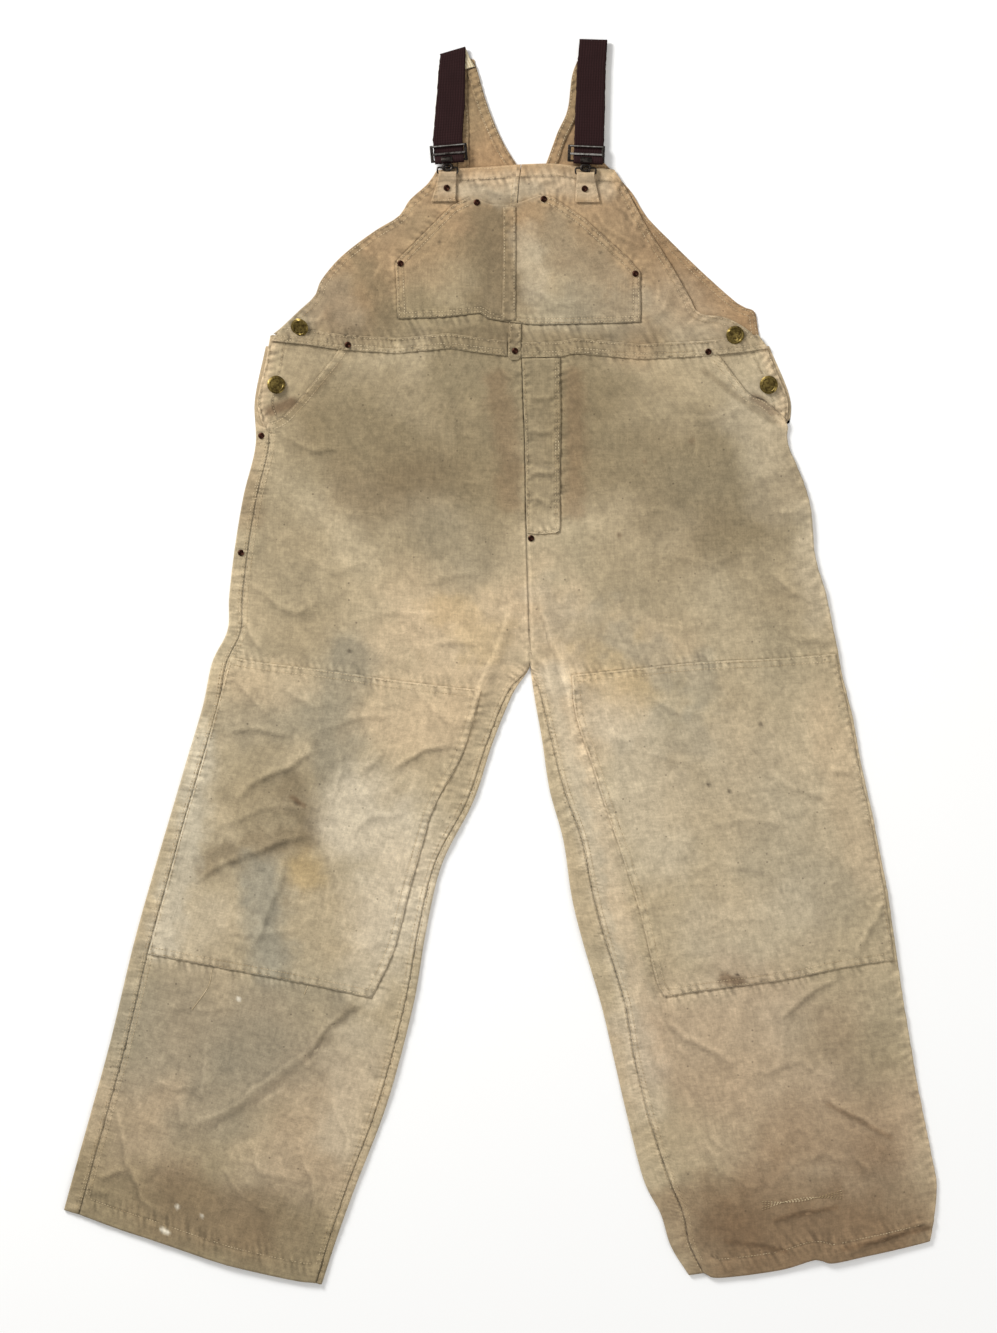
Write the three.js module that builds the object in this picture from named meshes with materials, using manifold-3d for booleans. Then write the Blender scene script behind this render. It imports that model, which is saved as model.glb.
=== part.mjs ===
// Bib overalls of heavy cotton duck with double knees, laid flat on their back on a surface.
// Units are millimetres. +X is to the right of someone who looks down at the garment, +Y runs from the
// hems to the shoulder straps, and +Z is up from the surface. "left" and "right" are as seen from above.
// Each cloth piece is a thin wall: a slab that follows the one lie of the cloth, cut to the piece's outline.
import * as THREE from "three";
import { mergeVertices } from "three/addons/utils/BufferGeometryUtils.js";
import Module from "manifold-3d";

const wasm = await Module();
wasm.setup();

// ---------- driving sizes ----------
const CLOTH = 1.0; // duck, one ply
const GAP = 0.3; // between pieces that meet
const FOLD = 2.2; // outer radius where a leg's cloth turns from front to back
const LIE = 3.9; // height of the front cloth's upper face where nothing lifts it
const SEAM_LIFT = 0.5; // the bulk of seams raises the cloth near the edges
const SEAM_REACH = 35;
const CELL = 40; // facet size of the lie
const HALF_WIDTH = 520; // the lie's grid covers the whole garment
const HALF_LENGTH = 760;
const LAP = 8; // legs and bib meet this far above the waistband's lower edge
const BAND = 18; // waistband height
const UNDER_STRIP = 15; // the right front leg turns under by this much

// Heights of a layer's lower face above the front cloth's upper face.
const ON_FRONT = GAP;
const ON_PATCH = 2 * GAP + CLOTH;
const FRONT = -CLOTH;
const UNDER_FRONT = -2 * CLOTH - GAP;

// ---------- colours ----------
const finish = (color, roughness, metalness = 0) =>
  new THREE.MeshStandardMaterial({ color, roughness, metalness });
const duck = finish("#b39a72", 0.92);
const duckInside = finish("#97805c", 0.94);
const elastic = finish("#36211f", 0.85);
const steel = finish("#6f6a66", 0.35, 1);
const brass = finish("#7d6b3c", 0.4, 1);
const copper = finish("#5f3a28", 0.45, 1);

// ---------- outlines ----------
// Rows of the legs, from the waist to the hem. Hip rows end on the centre front, leg rows on the inside leg.
const CENTRE_FRONT = [[25, 367], [27, 303], [29, 240], [30, 175], [32, 104], [34, 39], [35, -2]];
const LEFT_HIP = [[-277, 374], [-290, 310], [-289, 257], [-303, 198], [-313, 139], [-320, 80], [-322, 39]];
const LEFT_OUTSIDE = [
  [-322, 39], [-340, 1], [-351, -50], [-370, -114], [-391, -185], [-412, -256],
  [-434, -336], [-460, -445], [-484, -533], [-500, -590], [-515, -645],
];
const LEFT_INSIDE = [
  [35, -2], [14, -37], [-10, -96], [-32, -163], [-69, -237], [-88, -317],
  [-103, -404], [-134, -520], [-171, -617], [-192, -675], [-211, -733],
];
const RIGHT_HIP = [[317, 374], [342, 310], [340, 257], [363, 196], [371, 127], [384, 79], [395, 27]];
const RIGHT_OUTSIDE = [
  [395, 27], [404, -18], [416, -67], [427, -126], [441, -191], [455, -262], [461, -303],
  [468, -350], [480, -427], [493, -502], [509, -581], [515, -616], [512, -651], [507, -682],
];
const RIGHT_INSIDE = [
  [35, -2], [40, -40], [49, -91], [58, -150], [74, -209], [84, -276], [97, -329],
  [119, -404], [134, -468], [150, -537], [169, -610], [189, -650], [201, -688], [222, -722],
];
const LEFT_HEM = [[-503, -661], [-449, -668], [-409, -681], [-342, -704], [-307, -714], [-244, -728], [-219, -736]];
const RIGHT_HEM = [[259, -725], [330, -716], [371, -704], [391, -708], [430, -700], [471, -691], [504, -684]];

// Widths of the strips of back leg that come round to the front, one for each leg row.
const LEFT_OUTER_STRIP = [16, 17, 18, 18, 18, 19, 19, 19, 19, 19, 19];
const LEFT_INNER_STRIP = [6, 6, 6, 7, 8, 9, 10, 10, 9, 8, 7];
const RIGHT_INNER_STRIP = [6, 8, 11, 17, 22, 26, 27, 28, 24, 25, 30, 26, 22, 18];
const HIP_STRIP = 15;

const WAIST_LOW = [
  [-274, 380], [-233, 376], [-187, 369], [-123, 365], [-62, 371], [-12, 364], [25, 360],
  [70, 361], [88, 365], [165, 358], [241, 362], [289, 367], [316, 371],
];
const LEFT_MOUTH = [[-186, 369], [-199, 358], [-220, 332], [-239, 309], [-258, 290], [-275, 282]];
const RIGHT_MOUTH = [[252, 361], [278, 336], [294, 317], [311, 310], [327, 296], [337, 285]];

const BIB_SEAM = [[24, 588], [20, 545], [18, 470], [18, 402], [20, 375]];
const BIB_LEFT_SIDE = [
  [-75, 581], [-86, 565], [-107, 546], [-120, 527], [-149, 509], [-187, 480],
  [-211, 452], [-219, 433], [-239, 414], [-258, 396],
];
const BIB_LEFT_TOP = [[-53, 583], [-17, 585], [24, 588]];
const BIB_RIGHT_TOP = [[24, 588], [62, 588], [89, 585], [126, 583]];
const BIB_RIGHT_SIDE = [[134, 581], [150, 556], [171, 517], [200, 471], [222, 433], [234, 413], [266, 407], [290, 394]];

const BACK_V_LEFT = [[-31, 712], [-27, 697], [-17, 669], [-8, 641], [6, 612], [21, 586], [37, 560]];
const BACK_V_RIGHT = [[88, 710], [84, 697], [78, 669], [74, 641], [64, 620], [54, 590], [37, 560]];
const BACK_LEFT_ARM = [[-57, 716], [-59, 690], [-59, 640], [-53, 600], [-56, 583]];
const BACK_RIGHT_ARM = [[117, 712], [118, 690], [119, 640], [117, 600], [120, 585]];
const BACK_RIGHT_SIDE = [[134, 580], [154, 556], [172, 527], [199, 499], [238, 461], [280, 424], [298, 415], [303, 398]];

// ---------- small tools ----------
const solidOf = (geometry) => {
  const bare = geometry.index ? geometry.toNonIndexed() : geometry.clone();
  bare.deleteAttribute("normal");
  bare.deleteAttribute("uv");
  const merged = mergeVertices(bare, 1e-3);
  return new wasm.Manifold(
    new wasm.Mesh({
      numProp: 3,
      vertProperties: merged.attributes.position.array,
      triVerts: new Uint32Array(merged.index.array),
    }),
  );
};

const geometryOf = (solid) => {
  const mesh = solid.getMesh();
  return new THREE.BufferGeometry()
    .setAttribute("position", new THREE.BufferAttribute(new Float32Array(mesh.vertProperties), 3))
    .setIndex(new THREE.BufferAttribute(new Uint32Array(mesh.triVerts), 1));
};

const root = new THREE.Group();

const add = (name, geometry, material, parent = root) => {
  const mesh = new THREE.Mesh(geometry, material);
  mesh.name = name;
  parent.add(mesh);
  return mesh;
};

// A smooth line through the points, with a fixed number of steps between each two of them.
const smooth = (points, steps = 2) => {
  const line = new THREE.CatmullRomCurve3(points.map(([x, y]) => new THREE.Vector3(x, y, 0)), false, "centripetal");
  return line.getPoints(steps * (points.length - 1)).map((p) => [p.x, p.y]);
};

// The value at place t, 0 to 1, of a list of widths that are given at equal steps.
const between = (values, t) => {
  const place = t * (values.length - 1);
  const low = Math.min(Math.floor(place), values.length - 2);
  return values[low] + (values[low + 1] - values[low]) * (place - low);
};

// A line moved sideways, towards the matching points of another line, by a width given along it.
const inset = (line, towards, width) =>
  line.map(([x, y], i) => {
    const [tx, ty] = towards[i];
    const share = width(i / (line.length - 1)) / Math.hypot(tx - x, ty - y);
    return [x + (tx - x) * share, y + (ty - y) * share];
  });

const moved = (line, dx, dy) => line.map(([x, y]) => [x + dx, y + dy]);
const reversed = (line) => [...line].reverse();
const below = (line, y) => line.filter((p) => p[1] < y);

const toSegment = (x, y, [ax, ay], [bx, by]) => {
  const dx = bx - ax;
  const dy = by - ay;
  const along = THREE.MathUtils.clamp(((x - ax) * dx + (y - ay) * dy) / (dx * dx + dy * dy), 0, 1);
  return { distance: Math.hypot(x - ax - along * dx, y - ay - along * dy), along };
};

const toLine = (x, y, line) =>
  Math.min(...line.slice(1).map((point, i) => toSegment(x, y, line[i], point).distance));

const waistHeight = (x) => {
  const next = Math.max(1, WAIST_LOW.findIndex(([px]) => px > x));
  const [[ax, ay], [bx, by]] = x < WAIST_LOW.at(-1)[0] ? [WAIST_LOW[next - 1], WAIST_LOW[next]] : WAIST_LOW.slice(-2);
  return ay + ((by - ay) * (x - ax)) / (bx - ax);
};

// The waist's line from one side to another, a given height above the waistband's lower edge.
const alongWaist = (from, to, rise) => {
  const inner = WAIST_LOW.map(([x]) => x).filter((x) => x > from + 1 && x < to - 1);
  return [from, ...inner, to].map((x) => [x, waistHeight(x) + rise]);
};

// ---------- the lie of the cloth ----------
// The largest creases: a line and its height. A negative height is a trough.
const CREASE_REACH = 42;
const CREASES = [
  { line: [[-169, -397], [-228, -475], [-284, -512], [-368, -552]], height: 4 },
  { line: [[-315, -223], [-261, -210], [-200, -198]], height: 3.4 },
  { line: [[-315, -156], [-281, -136], [-227, -109]], height: 2.4 },
  { line: [[-129, -122], [-91, -101], [-54, -90]], height: 2.6 },
  { line: [[-298, -342], [-267, -261], [-254, -223]], height: 2 },
  { line: [[-313, 70], [-275, 7]], height: 2 },
  { line: [[12, 55], [-22, -20], [-54, -114]], height: 3.6 },
  { line: [[-448, -604], [-414, -638], [-362, -661]], height: 2.4 },
  { line: [[60, 5], [91, -97], [111, -198]], height: 3.2 },
  { line: [[431, -359], [398, -378], [346, -408]], height: 2.6 },
  { line: [[192, -408], [226, -444], [280, -470]], height: 2.4 },
  { line: [[380, -519], [424, -537], [473, -578]], height: 2.4 },
  { line: [[424, -688], [473, -668], [500, -666]], height: 3 },
  { line: [[199, 290], [239, 292], [285, 304]], height: 2 },
  { line: [[306, 111], [352, 87]], height: 1.8 },
  { line: [[-8, 500], [-8, 471], [-15, 432]], height: -0.8 },
  { line: [[123, 523], [166, 495]], height: 1.6 },
];

const creaseHeight = (x, y, { line, height }) => {
  const spans = line.length - 1;
  const nearest = line
    .slice(1)
    .map((point, i) => ({ span: i, ...toSegment(x, y, line[i], point) }))
    .sort((a, b) => a.distance - b.distance)[0];
  if (nearest.distance > CREASE_REACH) return 0;
  const along = (nearest.span + nearest.along) / spans;
  const taper = Math.min(1, 4 * along * (1 - along) + 0.35);
  return height * taper * Math.cos((Math.PI / 2) * (nearest.distance / CREASE_REACH)) ** 2;
};

const EDGES = [LEFT_HIP, LEFT_OUTSIDE, LEFT_INSIDE, RIGHT_HIP, RIGHT_OUTSIDE, RIGHT_INSIDE];

const lieAt = (x, y) => {
  const edge = Math.min(...EDGES.map((line) => toLine(x, y, line)));
  const bulk = SEAM_LIFT * Math.max(0, 1 - edge / SEAM_REACH);
  return LIE + bulk + CREASES.reduce((sum, crease) => sum + creaseHeight(x, y, crease), 0);
};

const COLUMNS = Math.round((2 * HALF_WIDTH) / CELL) + 1;
const ROWS = Math.round((2 * HALF_LENGTH) / CELL) + 1;
const gridX = (i) => -HALF_WIDTH + i * CELL;
const gridY = (j) => -HALF_LENGTH + j * CELL;
const lie = Array.from({ length: ROWS }, (_, j) => Array.from({ length: COLUMNS }, (_, i) => lieAt(gridX(i), gridY(j))));

// The height of the faceted lie at a place, and the highest of it under a small round foot.
const lieHeight = (x, y) => {
  const i = Math.floor((x + HALF_WIDTH) / CELL);
  const j = Math.floor((y + HALF_LENGTH) / CELL);
  const fx = (x - gridX(i)) / CELL;
  const fy = (y - gridY(j)) / CELL;
  const [a, b, c, d] = [lie[j][i], lie[j][i + 1], lie[j + 1][i], lie[j + 1][i + 1]];
  return fx + fy < 1 ? a + (b - a) * fx + (c - a) * fy : d + (c - d) * (1 - fx) + (b - d) * (1 - fy);
};

const highestUnder = (x, y, radius) =>
  Math.max(
    lieHeight(x, y),
    ...Array.from({ length: 12 }, (_, k) => {
      const turn = (k * Math.PI) / 6;
      return lieHeight(x + radius * Math.cos(turn), y + radius * Math.sin(turn));
    }),
  );

// A slab of the lie over a range of grid cells, its lower face at an offset from the front cloth's upper face.
const slab = (outline, offset, thickness) => {
  const box = new THREE.Box2().setFromPoints(outline.map(([x, y]) => new THREE.Vector2(x, y)));
  const i0 = Math.max(0, Math.floor((box.min.x + HALF_WIDTH) / CELL));
  const i1 = Math.min(COLUMNS - 1, Math.ceil((box.max.x + HALF_WIDTH) / CELL));
  const j0 = Math.max(0, Math.floor((box.min.y + HALF_LENGTH) / CELL));
  const j1 = Math.min(ROWS - 1, Math.ceil((box.max.y + HALF_LENGTH) / CELL));
  const across = i1 - i0 + 1;
  const positions = [];
  for (const rise of [offset + thickness, offset]) {
    for (let j = j0; j <= j1; j++) {
      for (let i = i0; i <= i1; i++) positions.push(gridX(i), gridY(j), lie[j][i] + rise);
    }
  }
  const layer = across * (j1 - j0 + 1);
  const at = (i, j) => j * across + i;
  const faces = [];
  for (let j = 0; j < j1 - j0; j++) {
    for (let i = 0; i < i1 - i0; i++) {
      const [a, b, c, d] = [at(i, j), at(i + 1, j), at(i, j + 1), at(i + 1, j + 1)];
      faces.push(a, b, c, b, d, c, layer + a, layer + c, layer + b, layer + b, layer + c, layer + d);
    }
  }
  const wall = (a, b) => faces.push(a, layer + a, b, b, layer + a, layer + b);
  for (let i = 0; i < i1 - i0; i++) {
    wall(at(i, 0), at(i + 1, 0));
    wall(at(i + 1, j1 - j0), at(i, j1 - j0));
  }
  for (let j = 0; j < j1 - j0; j++) {
    wall(at(0, j + 1), at(0, j));
    wall(at(i1 - i0, j), at(i1 - i0, j + 1));
  }
  return new wasm.Manifold(
    new wasm.Mesh({ numProp: 3, vertProperties: new Float32Array(positions), triVerts: new Uint32Array(faces) }),
  );
};

const prism = (outline, bottom, top) => {
  const shape = new THREE.Shape(outline.map(([x, y]) => new THREE.Vector2(x, y)));
  const body = new THREE.ExtrudeGeometry(shape, { depth: top - bottom, bevelEnabled: false });
  return solidOf(body.translate(0, 0, bottom));
};

const TALL = 40;
const clothPiece = (outline, offset, thickness = CLOTH) =>
  slab(outline, offset, thickness).intersect(prism(outline, -TALL, TALL));

// The rounded fold along a leg's edge: a half ring that opens towards the leg, with a short lip at each end.
const LIP = 3;
const FOLD_ANGLES = [-90, -30, 30, 90];
const roll = (edge, inward) => {
  const sections = edge.map(([x, y], i) => {
    const [ix, iy] = inward[i];
    const length = Math.hypot(ix - x, iy - y);
    const place = (depth, z) => [x + ((ix - x) * depth) / length, y + ((iy - y) * depth) / length, z];
    const ring = (radius) => FOLD_ANGLES.map((degrees) => {
      const turn = THREE.MathUtils.degToRad(degrees);
      return place(FOLD - radius * Math.cos(turn), FOLD + radius * Math.sin(turn));
    });
    const lips = (radius) => [place(FOLD + LIP, FOLD - radius), place(FOLD + LIP, FOLD + radius)];
    const [outerLow, outerHigh] = lips(FOLD);
    const [innerLow, innerHigh] = lips(FOLD - CLOTH);
    return [outerLow, ...ring(FOLD), outerHigh, innerHigh, ...ring(FOLD - CLOTH).reverse(), innerLow];
  });
  return loft(sections);
};

// A closed solid through sections that are strips: point k of a section faces its point n - 1 - k across the wall.
function loft(sections) {
  const n = sections[0].length;
  const faces = [];
  for (let s = 0; s < sections.length - 1; s++) {
    for (let k = 0; k < n; k++) {
      const [a, b] = [s * n + k, s * n + ((k + 1) % n)];
      faces.push(a, b, a + n, b, b + n, a + n);
    }
  }
  const last = (sections.length - 1) * n;
  for (let k = 0; k < n / 2 - 1; k++) {
    const [a, b, c, d] = [k, k + 1, n - 2 - k, n - 1 - k];
    faces.push(a, d, b, b, d, c);
    faces.push(last + a, last + b, last + d, last + b, last + c, last + d);
  }
  const made = (order) =>
    new wasm.Manifold(
      new wasm.Mesh({ numProp: 3, vertProperties: new Float32Array(sections.flat(2)), triVerts: new Uint32Array(order) }),
    );
  const solid = made(faces);
  if (solid.volume() > 0) return solid;
  const turned = [];
  for (let i = 0; i < faces.length; i += 3) turned.push(faces[i], faces[i + 2], faces[i + 1]);
  return made(turned);
}

// ---------- the legs ----------
const join = (hip, leg) => [...hip.slice(0, -1), ...leg];
const makeLeg = (hip, outside, inside) => ({
  hip,
  outside,
  inside,
  outer: join(hip, outside),
  inner: join(CENTRE_FRONT, inside),
});
const left = makeLeg(LEFT_HIP, LEFT_OUTSIDE, LEFT_INSIDE);
const right = makeLeg(RIGHT_HIP, RIGHT_OUTSIDE, RIGHT_INSIDE);
const MOUTH_END = 281; // the pocket mouths end here, and the side folds start

const hipShare = (leg) => (leg.hip.length - 1) / (leg.outer.length - 1);
const wholeWidth = (leg, atHip, widths) => (t) => {
  const hip = hipShare(leg);
  return t < hip ? atHip : between(widths, (t - hip) / (1 - hip));
};
const flat = (width) => () => width;

// Left leg: the back leg comes round both edges as a strip, and the front leg lies between the strips.
const leftStrip = wholeWidth(left, HIP_STRIP, LEFT_OUTER_STRIP);
const leftOuterEdge = (extra) => inset(left.outer, left.inner, (t) => leftStrip(t) + extra);
const leftInnerEdge = (extra) => inset(left.inside, left.outside, (t) => between(LEFT_INNER_STRIP, t) + extra);
const hemBetween = (hem, from, to) => hem.filter(([x]) => x > from && x < to);
const centreLeft = moved(CENTRE_FRONT.slice(0, -1), -GAP / 2, 0);
const centreRight = moved(CENTRE_FRONT.slice(0, -1), GAP / 2, 0);

const frontLeftOutline = [
  ...alongWaist(-186, 24, LAP),
  ...centreLeft.filter(([, y]) => y < 366),
  ...leftInnerEdge(GAP),
  ...reversed(hemBetween(LEFT_HEM, -495, -215)),
  ...reversed(below(leftOuterEdge(GAP), MOUTH_END - 4)),
  ...reversed(LEFT_MOUTH.slice(1)),
];
add("front_leg_left", geometryOf(clothPiece(frontLeftOutline, FRONT)), duck);

const leftEdgeStrips = () => {
  const outer = below(inset(left.outer, left.inner, flat(FOLD)), MOUTH_END - 2);
  const outerSeam = below(leftOuterEdge(0), MOUTH_END - 2);
  const innerSeam = leftInnerEdge(0);
  const inner = inset(left.inside, left.outside, flat(FOLD));
  return [
    clothPiece([...outer, ...reversed(outerSeam)], FRONT),
    clothPiece([...inner, ...reversed(innerSeam)], FRONT),
  ];
};
const leftFloor = [
  ...alongWaist(-272, 24, LAP),
  ...centreLeft.filter(([, y]) => y < 366),
  ...inset(left.inside, left.outside, flat(FOLD)),
  ...reversed(hemBetween(LEFT_HEM, -503, -215)),
  ...reversed(below(inset(left.outer, left.inner, flat(FOLD)), 372)),
];
const sideFoldLeft = left.outer.map((p, i) => [p, left.inner[i]]).filter(([p]) => p[1] < MOUTH_END);
const backLegLeft = [
  prism(leftFloor, 0, CLOTH),
  roll(sideFoldLeft.map(([p]) => p), sideFoldLeft.map(([, q]) => q)),
  roll(left.inside.slice(1), left.outside.slice(1)),
  ...leftEdgeStrips(),
].reduce((whole, piece) => whole.add(piece));
add("back_leg_left", geometryOf(backLegLeft), duck);

// Right leg: the back leg comes round the inside edge, and the front leg turns under along the outside.
const rightInnerEdge = (extra) => inset(right.inside, right.outside, (t) => between(RIGHT_INNER_STRIP, t) + extra);
const rightFoldLine = below(inset(right.outer, right.inner, flat(FOLD)), MOUTH_END - 1);
const frontRightOutline = [
  ...alongWaist(26, 248, LAP),
  ...RIGHT_MOUTH,
  ...rightFoldLine,
  ...reversed(hemBetween(RIGHT_HEM, 246, 502)),
  ...reversed(rightInnerEdge(GAP)),
  ...reversed(centreRight.filter(([, y]) => y < 366)),
];
const rightFold = right.outer.map((p, i) => [p, right.inner[i]]).filter(([p]) => p[1] < MOUTH_END);
const underStrip = [
  ...rightFoldLine,
  ...reversed(below(inset(right.outer, right.inner, flat(UNDER_STRIP)), MOUTH_END - 1)),
];
const frontLegRight = [
  clothPiece(frontRightOutline, FRONT),
  roll(rightFold.map(([p]) => p), rightFold.map(([, q]) => q)),
  prism(underStrip, 0, CLOTH),
].reduce((whole, piece) => whole.add(piece));
add("front_leg_right", geometryOf(frontLegRight), duck);

const rightBackOuter = inset(right.outer, right.inner, flat(UNDER_STRIP + GAP));
const rightFloor = [
  ...alongWaist(26, 312, LAP),
  ...[[330, 340], [339, 300]].map(([x, y]) => [x - 1, y]),
  ...below(rightBackOuter, MOUTH_END + 12),
  ...reversed(hemBetween(RIGHT_HEM, 232, 485)),
  ...reversed(inset(right.inside, right.outside, flat(FOLD))),
  ...reversed(centreRight.filter(([, y]) => y < 366)),
];
const rightStrip = [
  ...inset(right.inside, right.outside, flat(FOLD)),
  ...reversed(rightInnerEdge(0)),
];
const backLegRight = [
  prism(rightFloor, 0, CLOTH),
  roll(right.inside.slice(1), right.outside.slice(1)),
  clothPiece(rightStrip, FRONT),
].reduce((whole, piece) => whole.add(piece));
add("back_leg_right", geometryOf(backLegRight), duck);

// ---------- hip pockets: the facing that shows inside each slanted mouth ----------
const MOUTH_UNDERLAP = 14;
const leftFacing = [
  ...alongWaist(-271, -168, LAP),
  [-180, 340], [-222, 300], [-262, 268], [-275, 268], [-281, 284],
  ...reversed(left.outer.filter(([, y]) => y < 372 && y > 290)),
];
add("hip_facing_left", geometryOf(clothPiece(leftFacing, UNDER_FRONT)), duckInside);
const rightFacing = [
  ...alongWaist(236, 311, LAP),
  ...right.outer.filter(([, y]) => y < 366 && y > 292),
  [338, 287], [330, 272], [312, 282], [284, 300], [252 - MOUTH_UNDERLAP, 340],
];
add("hip_facing_right", geometryOf(clothPiece(rightFacing, UNDER_FRONT)), duckInside);

// ---------- front bib ----------
const bibLeft = [
  ...smooth(BIB_LEFT_SIDE, 1),
  ...alongWaist(-266, 18, LAP + GAP),
  ...reversed(moved(smooth(BIB_SEAM, 2), -GAP / 2, 0)).slice(1),
  ...reversed(BIB_LEFT_TOP.slice(0, -1)),
];
add("front_bib_left", geometryOf(clothPiece(bibLeft, FRONT)), duck);
const bibRight = [
  ...moved(smooth(BIB_SEAM, 2), GAP / 2, 0).slice(0, -1),
  ...alongWaist(22, 306, LAP + GAP),
  ...reversed(BIB_RIGHT_SIDE),
  ...reversed(BIB_RIGHT_TOP.slice(1)),
];
add("front_bib_right", geometryOf(clothPiece(bibRight, FRONT)), duck);

// ---------- waistband, with the tab that closes it over the centre seam ----------
const bandPiece = (from, to) => [...alongWaist(from, to, 0), ...reversed(alongWaist(from + 2, to, BAND))];
add("waistband_left", geometryOf(clothPiece(bandPiece(-272, 8), ON_FRONT)), duck);
add("waistband_right", geometryOf(clothPiece(bandPiece(24.6, 314), ON_FRONT)), duck);
const waistTab = [[8.6, 362], [12, 357], [21, 357], [24, 361], [24, 400], [11, 400], [9, 385]];
add("waist_tab", geometryOf(clothPiece(waistTab, ON_PATCH)), duck);

// ---------- fly ----------
const fly = [[25.5, 358], [70, 359], [71, 287], [70, 216], [70, 160], [66, 155], [31.5, 153], [30.5, 176], [29.5, 240], [27.5, 303]];
add("fly", geometryOf(clothPiece(fly, ON_FRONT)), duck);

// ---------- chest pocket in two halves, with the pencil strip over their join ----------
const POCKET_LEFT = [
  [10, 402], [-15, 406], [-24, 413], [-65, 408], [-121, 406], [-124, 473],
  [-91, 506], [-58, 539], [-38, 549], [-24, 546], [-12, 541], [10, 540],
];
const POCKET_RIGHT = [
  [10.6, 402], [38, 399], [99, 400], [165, 402], [165, 460], [152, 476], [99, 524], [62, 549], [47, 552], [19, 542], [10.6, 540],
];
add("chest_pocket_left", geometryOf(clothPiece(POCKET_LEFT, ON_FRONT)), duck);
add("chest_pocket_right", geometryOf(clothPiece(POCKET_RIGHT, ON_FRONT)), duck);
add("pencil_strip", geometryOf(clothPiece([[2, 404], [18, 404], [18, 538], [3, 538]], ON_PATCH)), duck);

// ---------- double knees ----------
const KNEE_LEFT_TOP = [[-315, 6], [-284, 1], [-201, -9], [-119, -21], [-23, -32]];
const KNEE_LEFT_INNER = [[-23, -32], [-34, -74], [-50, -118], [-77, -166], [-91, -210], [-108, -271], [-126, -339], [-152, -395]];
const KNEE_LEFT_FOOT = [[-152, -395], [-227, -379], [-338, -358], [-410, -344]];
const kneeLeftOuter = below(leftOuterEdge(GAP + 1), 0).filter(([, y]) => y > -340);
const kneeLeft = [
  ...KNEE_LEFT_TOP.slice(0, -1),
  ...smooth(KNEE_LEFT_INNER, 1).slice(0, -1),
  ...KNEE_LEFT_FOOT,
  ...reversed(kneeLeftOuter),
];
add("knee_left", geometryOf(clothPiece(kneeLeft, ON_FRONT)), duck);
const KNEE_RIGHT_TOP = [[84, -14], [165, -6], [235, 1], [318, 5], [393, 10]];
const KNEE_RIGHT_INNER = [[84, -14], [89, -63], [108, -120], [124, -171], [145, -232], [166, -300], [183, -372], [194, -394]];
const KNEE_RIGHT_FOOT = [[194, -394], [235, -387], [338, -373], [401, -360], [459, -350]];
const kneeRightOuter = below(inset(right.outer, right.inner, flat(FOLD + 2)), 4).filter(([, y]) => y > -346);
const kneeRight = [
  ...KNEE_RIGHT_TOP,
  ...kneeRightOuter,
  ...reversed(KNEE_RIGHT_FOOT),
  ...reversed(smooth(KNEE_RIGHT_INNER, 1)).slice(1, -1),
];
add("knee_right", geometryOf(clothPiece(kneeRight, ON_FRONT)), duck);

// ---------- high back: two halves on the floor, with arms that carry the straps, and facings along their edges ----------
const backSeam = [[37, 560], [30, 480], [24, 400]];
const backBibLeft = [
  ...smooth(BACK_V_LEFT, 1),
  ...backSeam.slice(1),
  ...reversed(alongWaist(-266, 24, LAP + GAP)),
  ...reversed(moved(BIB_LEFT_SIDE, 2, 0)).slice(0, -1),
  ...reversed(BACK_LEFT_ARM),
];
add("back_bib_left", geometryOf(prism(backBibLeft, 0, CLOTH)), duckInside);
const backBibRight = [
  ...smooth(BACK_V_RIGHT, 1),
  ...backSeam.slice(1),
  ...alongWaist(24, 306, LAP + GAP),
  ...reversed(BACK_RIGHT_SIDE),
  ...reversed(BACK_RIGHT_ARM),
];
add("back_bib_right", geometryOf(prism(moved(backBibRight, GAP, 0), 0, CLOTH)), duckInside);

const FACING = 12;
const FACING_FOOT = 570;
const V_NORMAL = [-0.9, -0.42]; // away from the V, into the left arm
const vFacing = (edge, side) => {
  const visible = edge.filter(([, y]) => y > FACING_FOOT && y < 705);
  const within = moved(visible, side * FACING * V_NORMAL[0], FACING * V_NORMAL[1]);
  return prism([...moved(visible, -side * 0.5 + GAP / 2, 0), ...reversed(within)], CLOTH + GAP, 2 * CLOTH + GAP);
};
add("back_facing_left", geometryOf(vFacing(smooth(BACK_V_LEFT, 2), 1)), duckInside);
add("back_facing_right", geometryOf(vFacing(smooth(BACK_V_RIGHT, 2), -1)), duckInside);
const sideFacing = [[-57, 668], [-44, 668], [-38, 650], [-38, 600], [-36, 574], [-50, 574], [-51, 600]];
add("back_side_facing", geometryOf(prism(sideFacing, CLOTH + GAP, 2 * CLOTH + GAP)), duckInside);

// ---------- hardware of the straps ----------
const BAR = 1.25; // radius of the adjuster's bars
const WEB = 1.8; // thickness of the elastic webbing
const RUN = 5.9; // height of the middle of the webbing's upper run
const WRAP = BAR + GAP + WEB / 2; // radius of the webbing's middle round a bar
const PLANE = RUN + WRAP; // height of the adjuster's bars
const RETURN = RUN - WEB - 0.5;
const ADJUSTER = { halfWidth: 20.5, top: 11, middle: 0, bottom: -10 };
const SADDLE = { inner: 3.9, outer: 5, halfWidth: 6 };
const EYE = { drop: -18, ring: 3, wire: 1.1 };
const RING = { wire: 1, halfWidth: 12, drop: 7, height: 8.9 };

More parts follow.
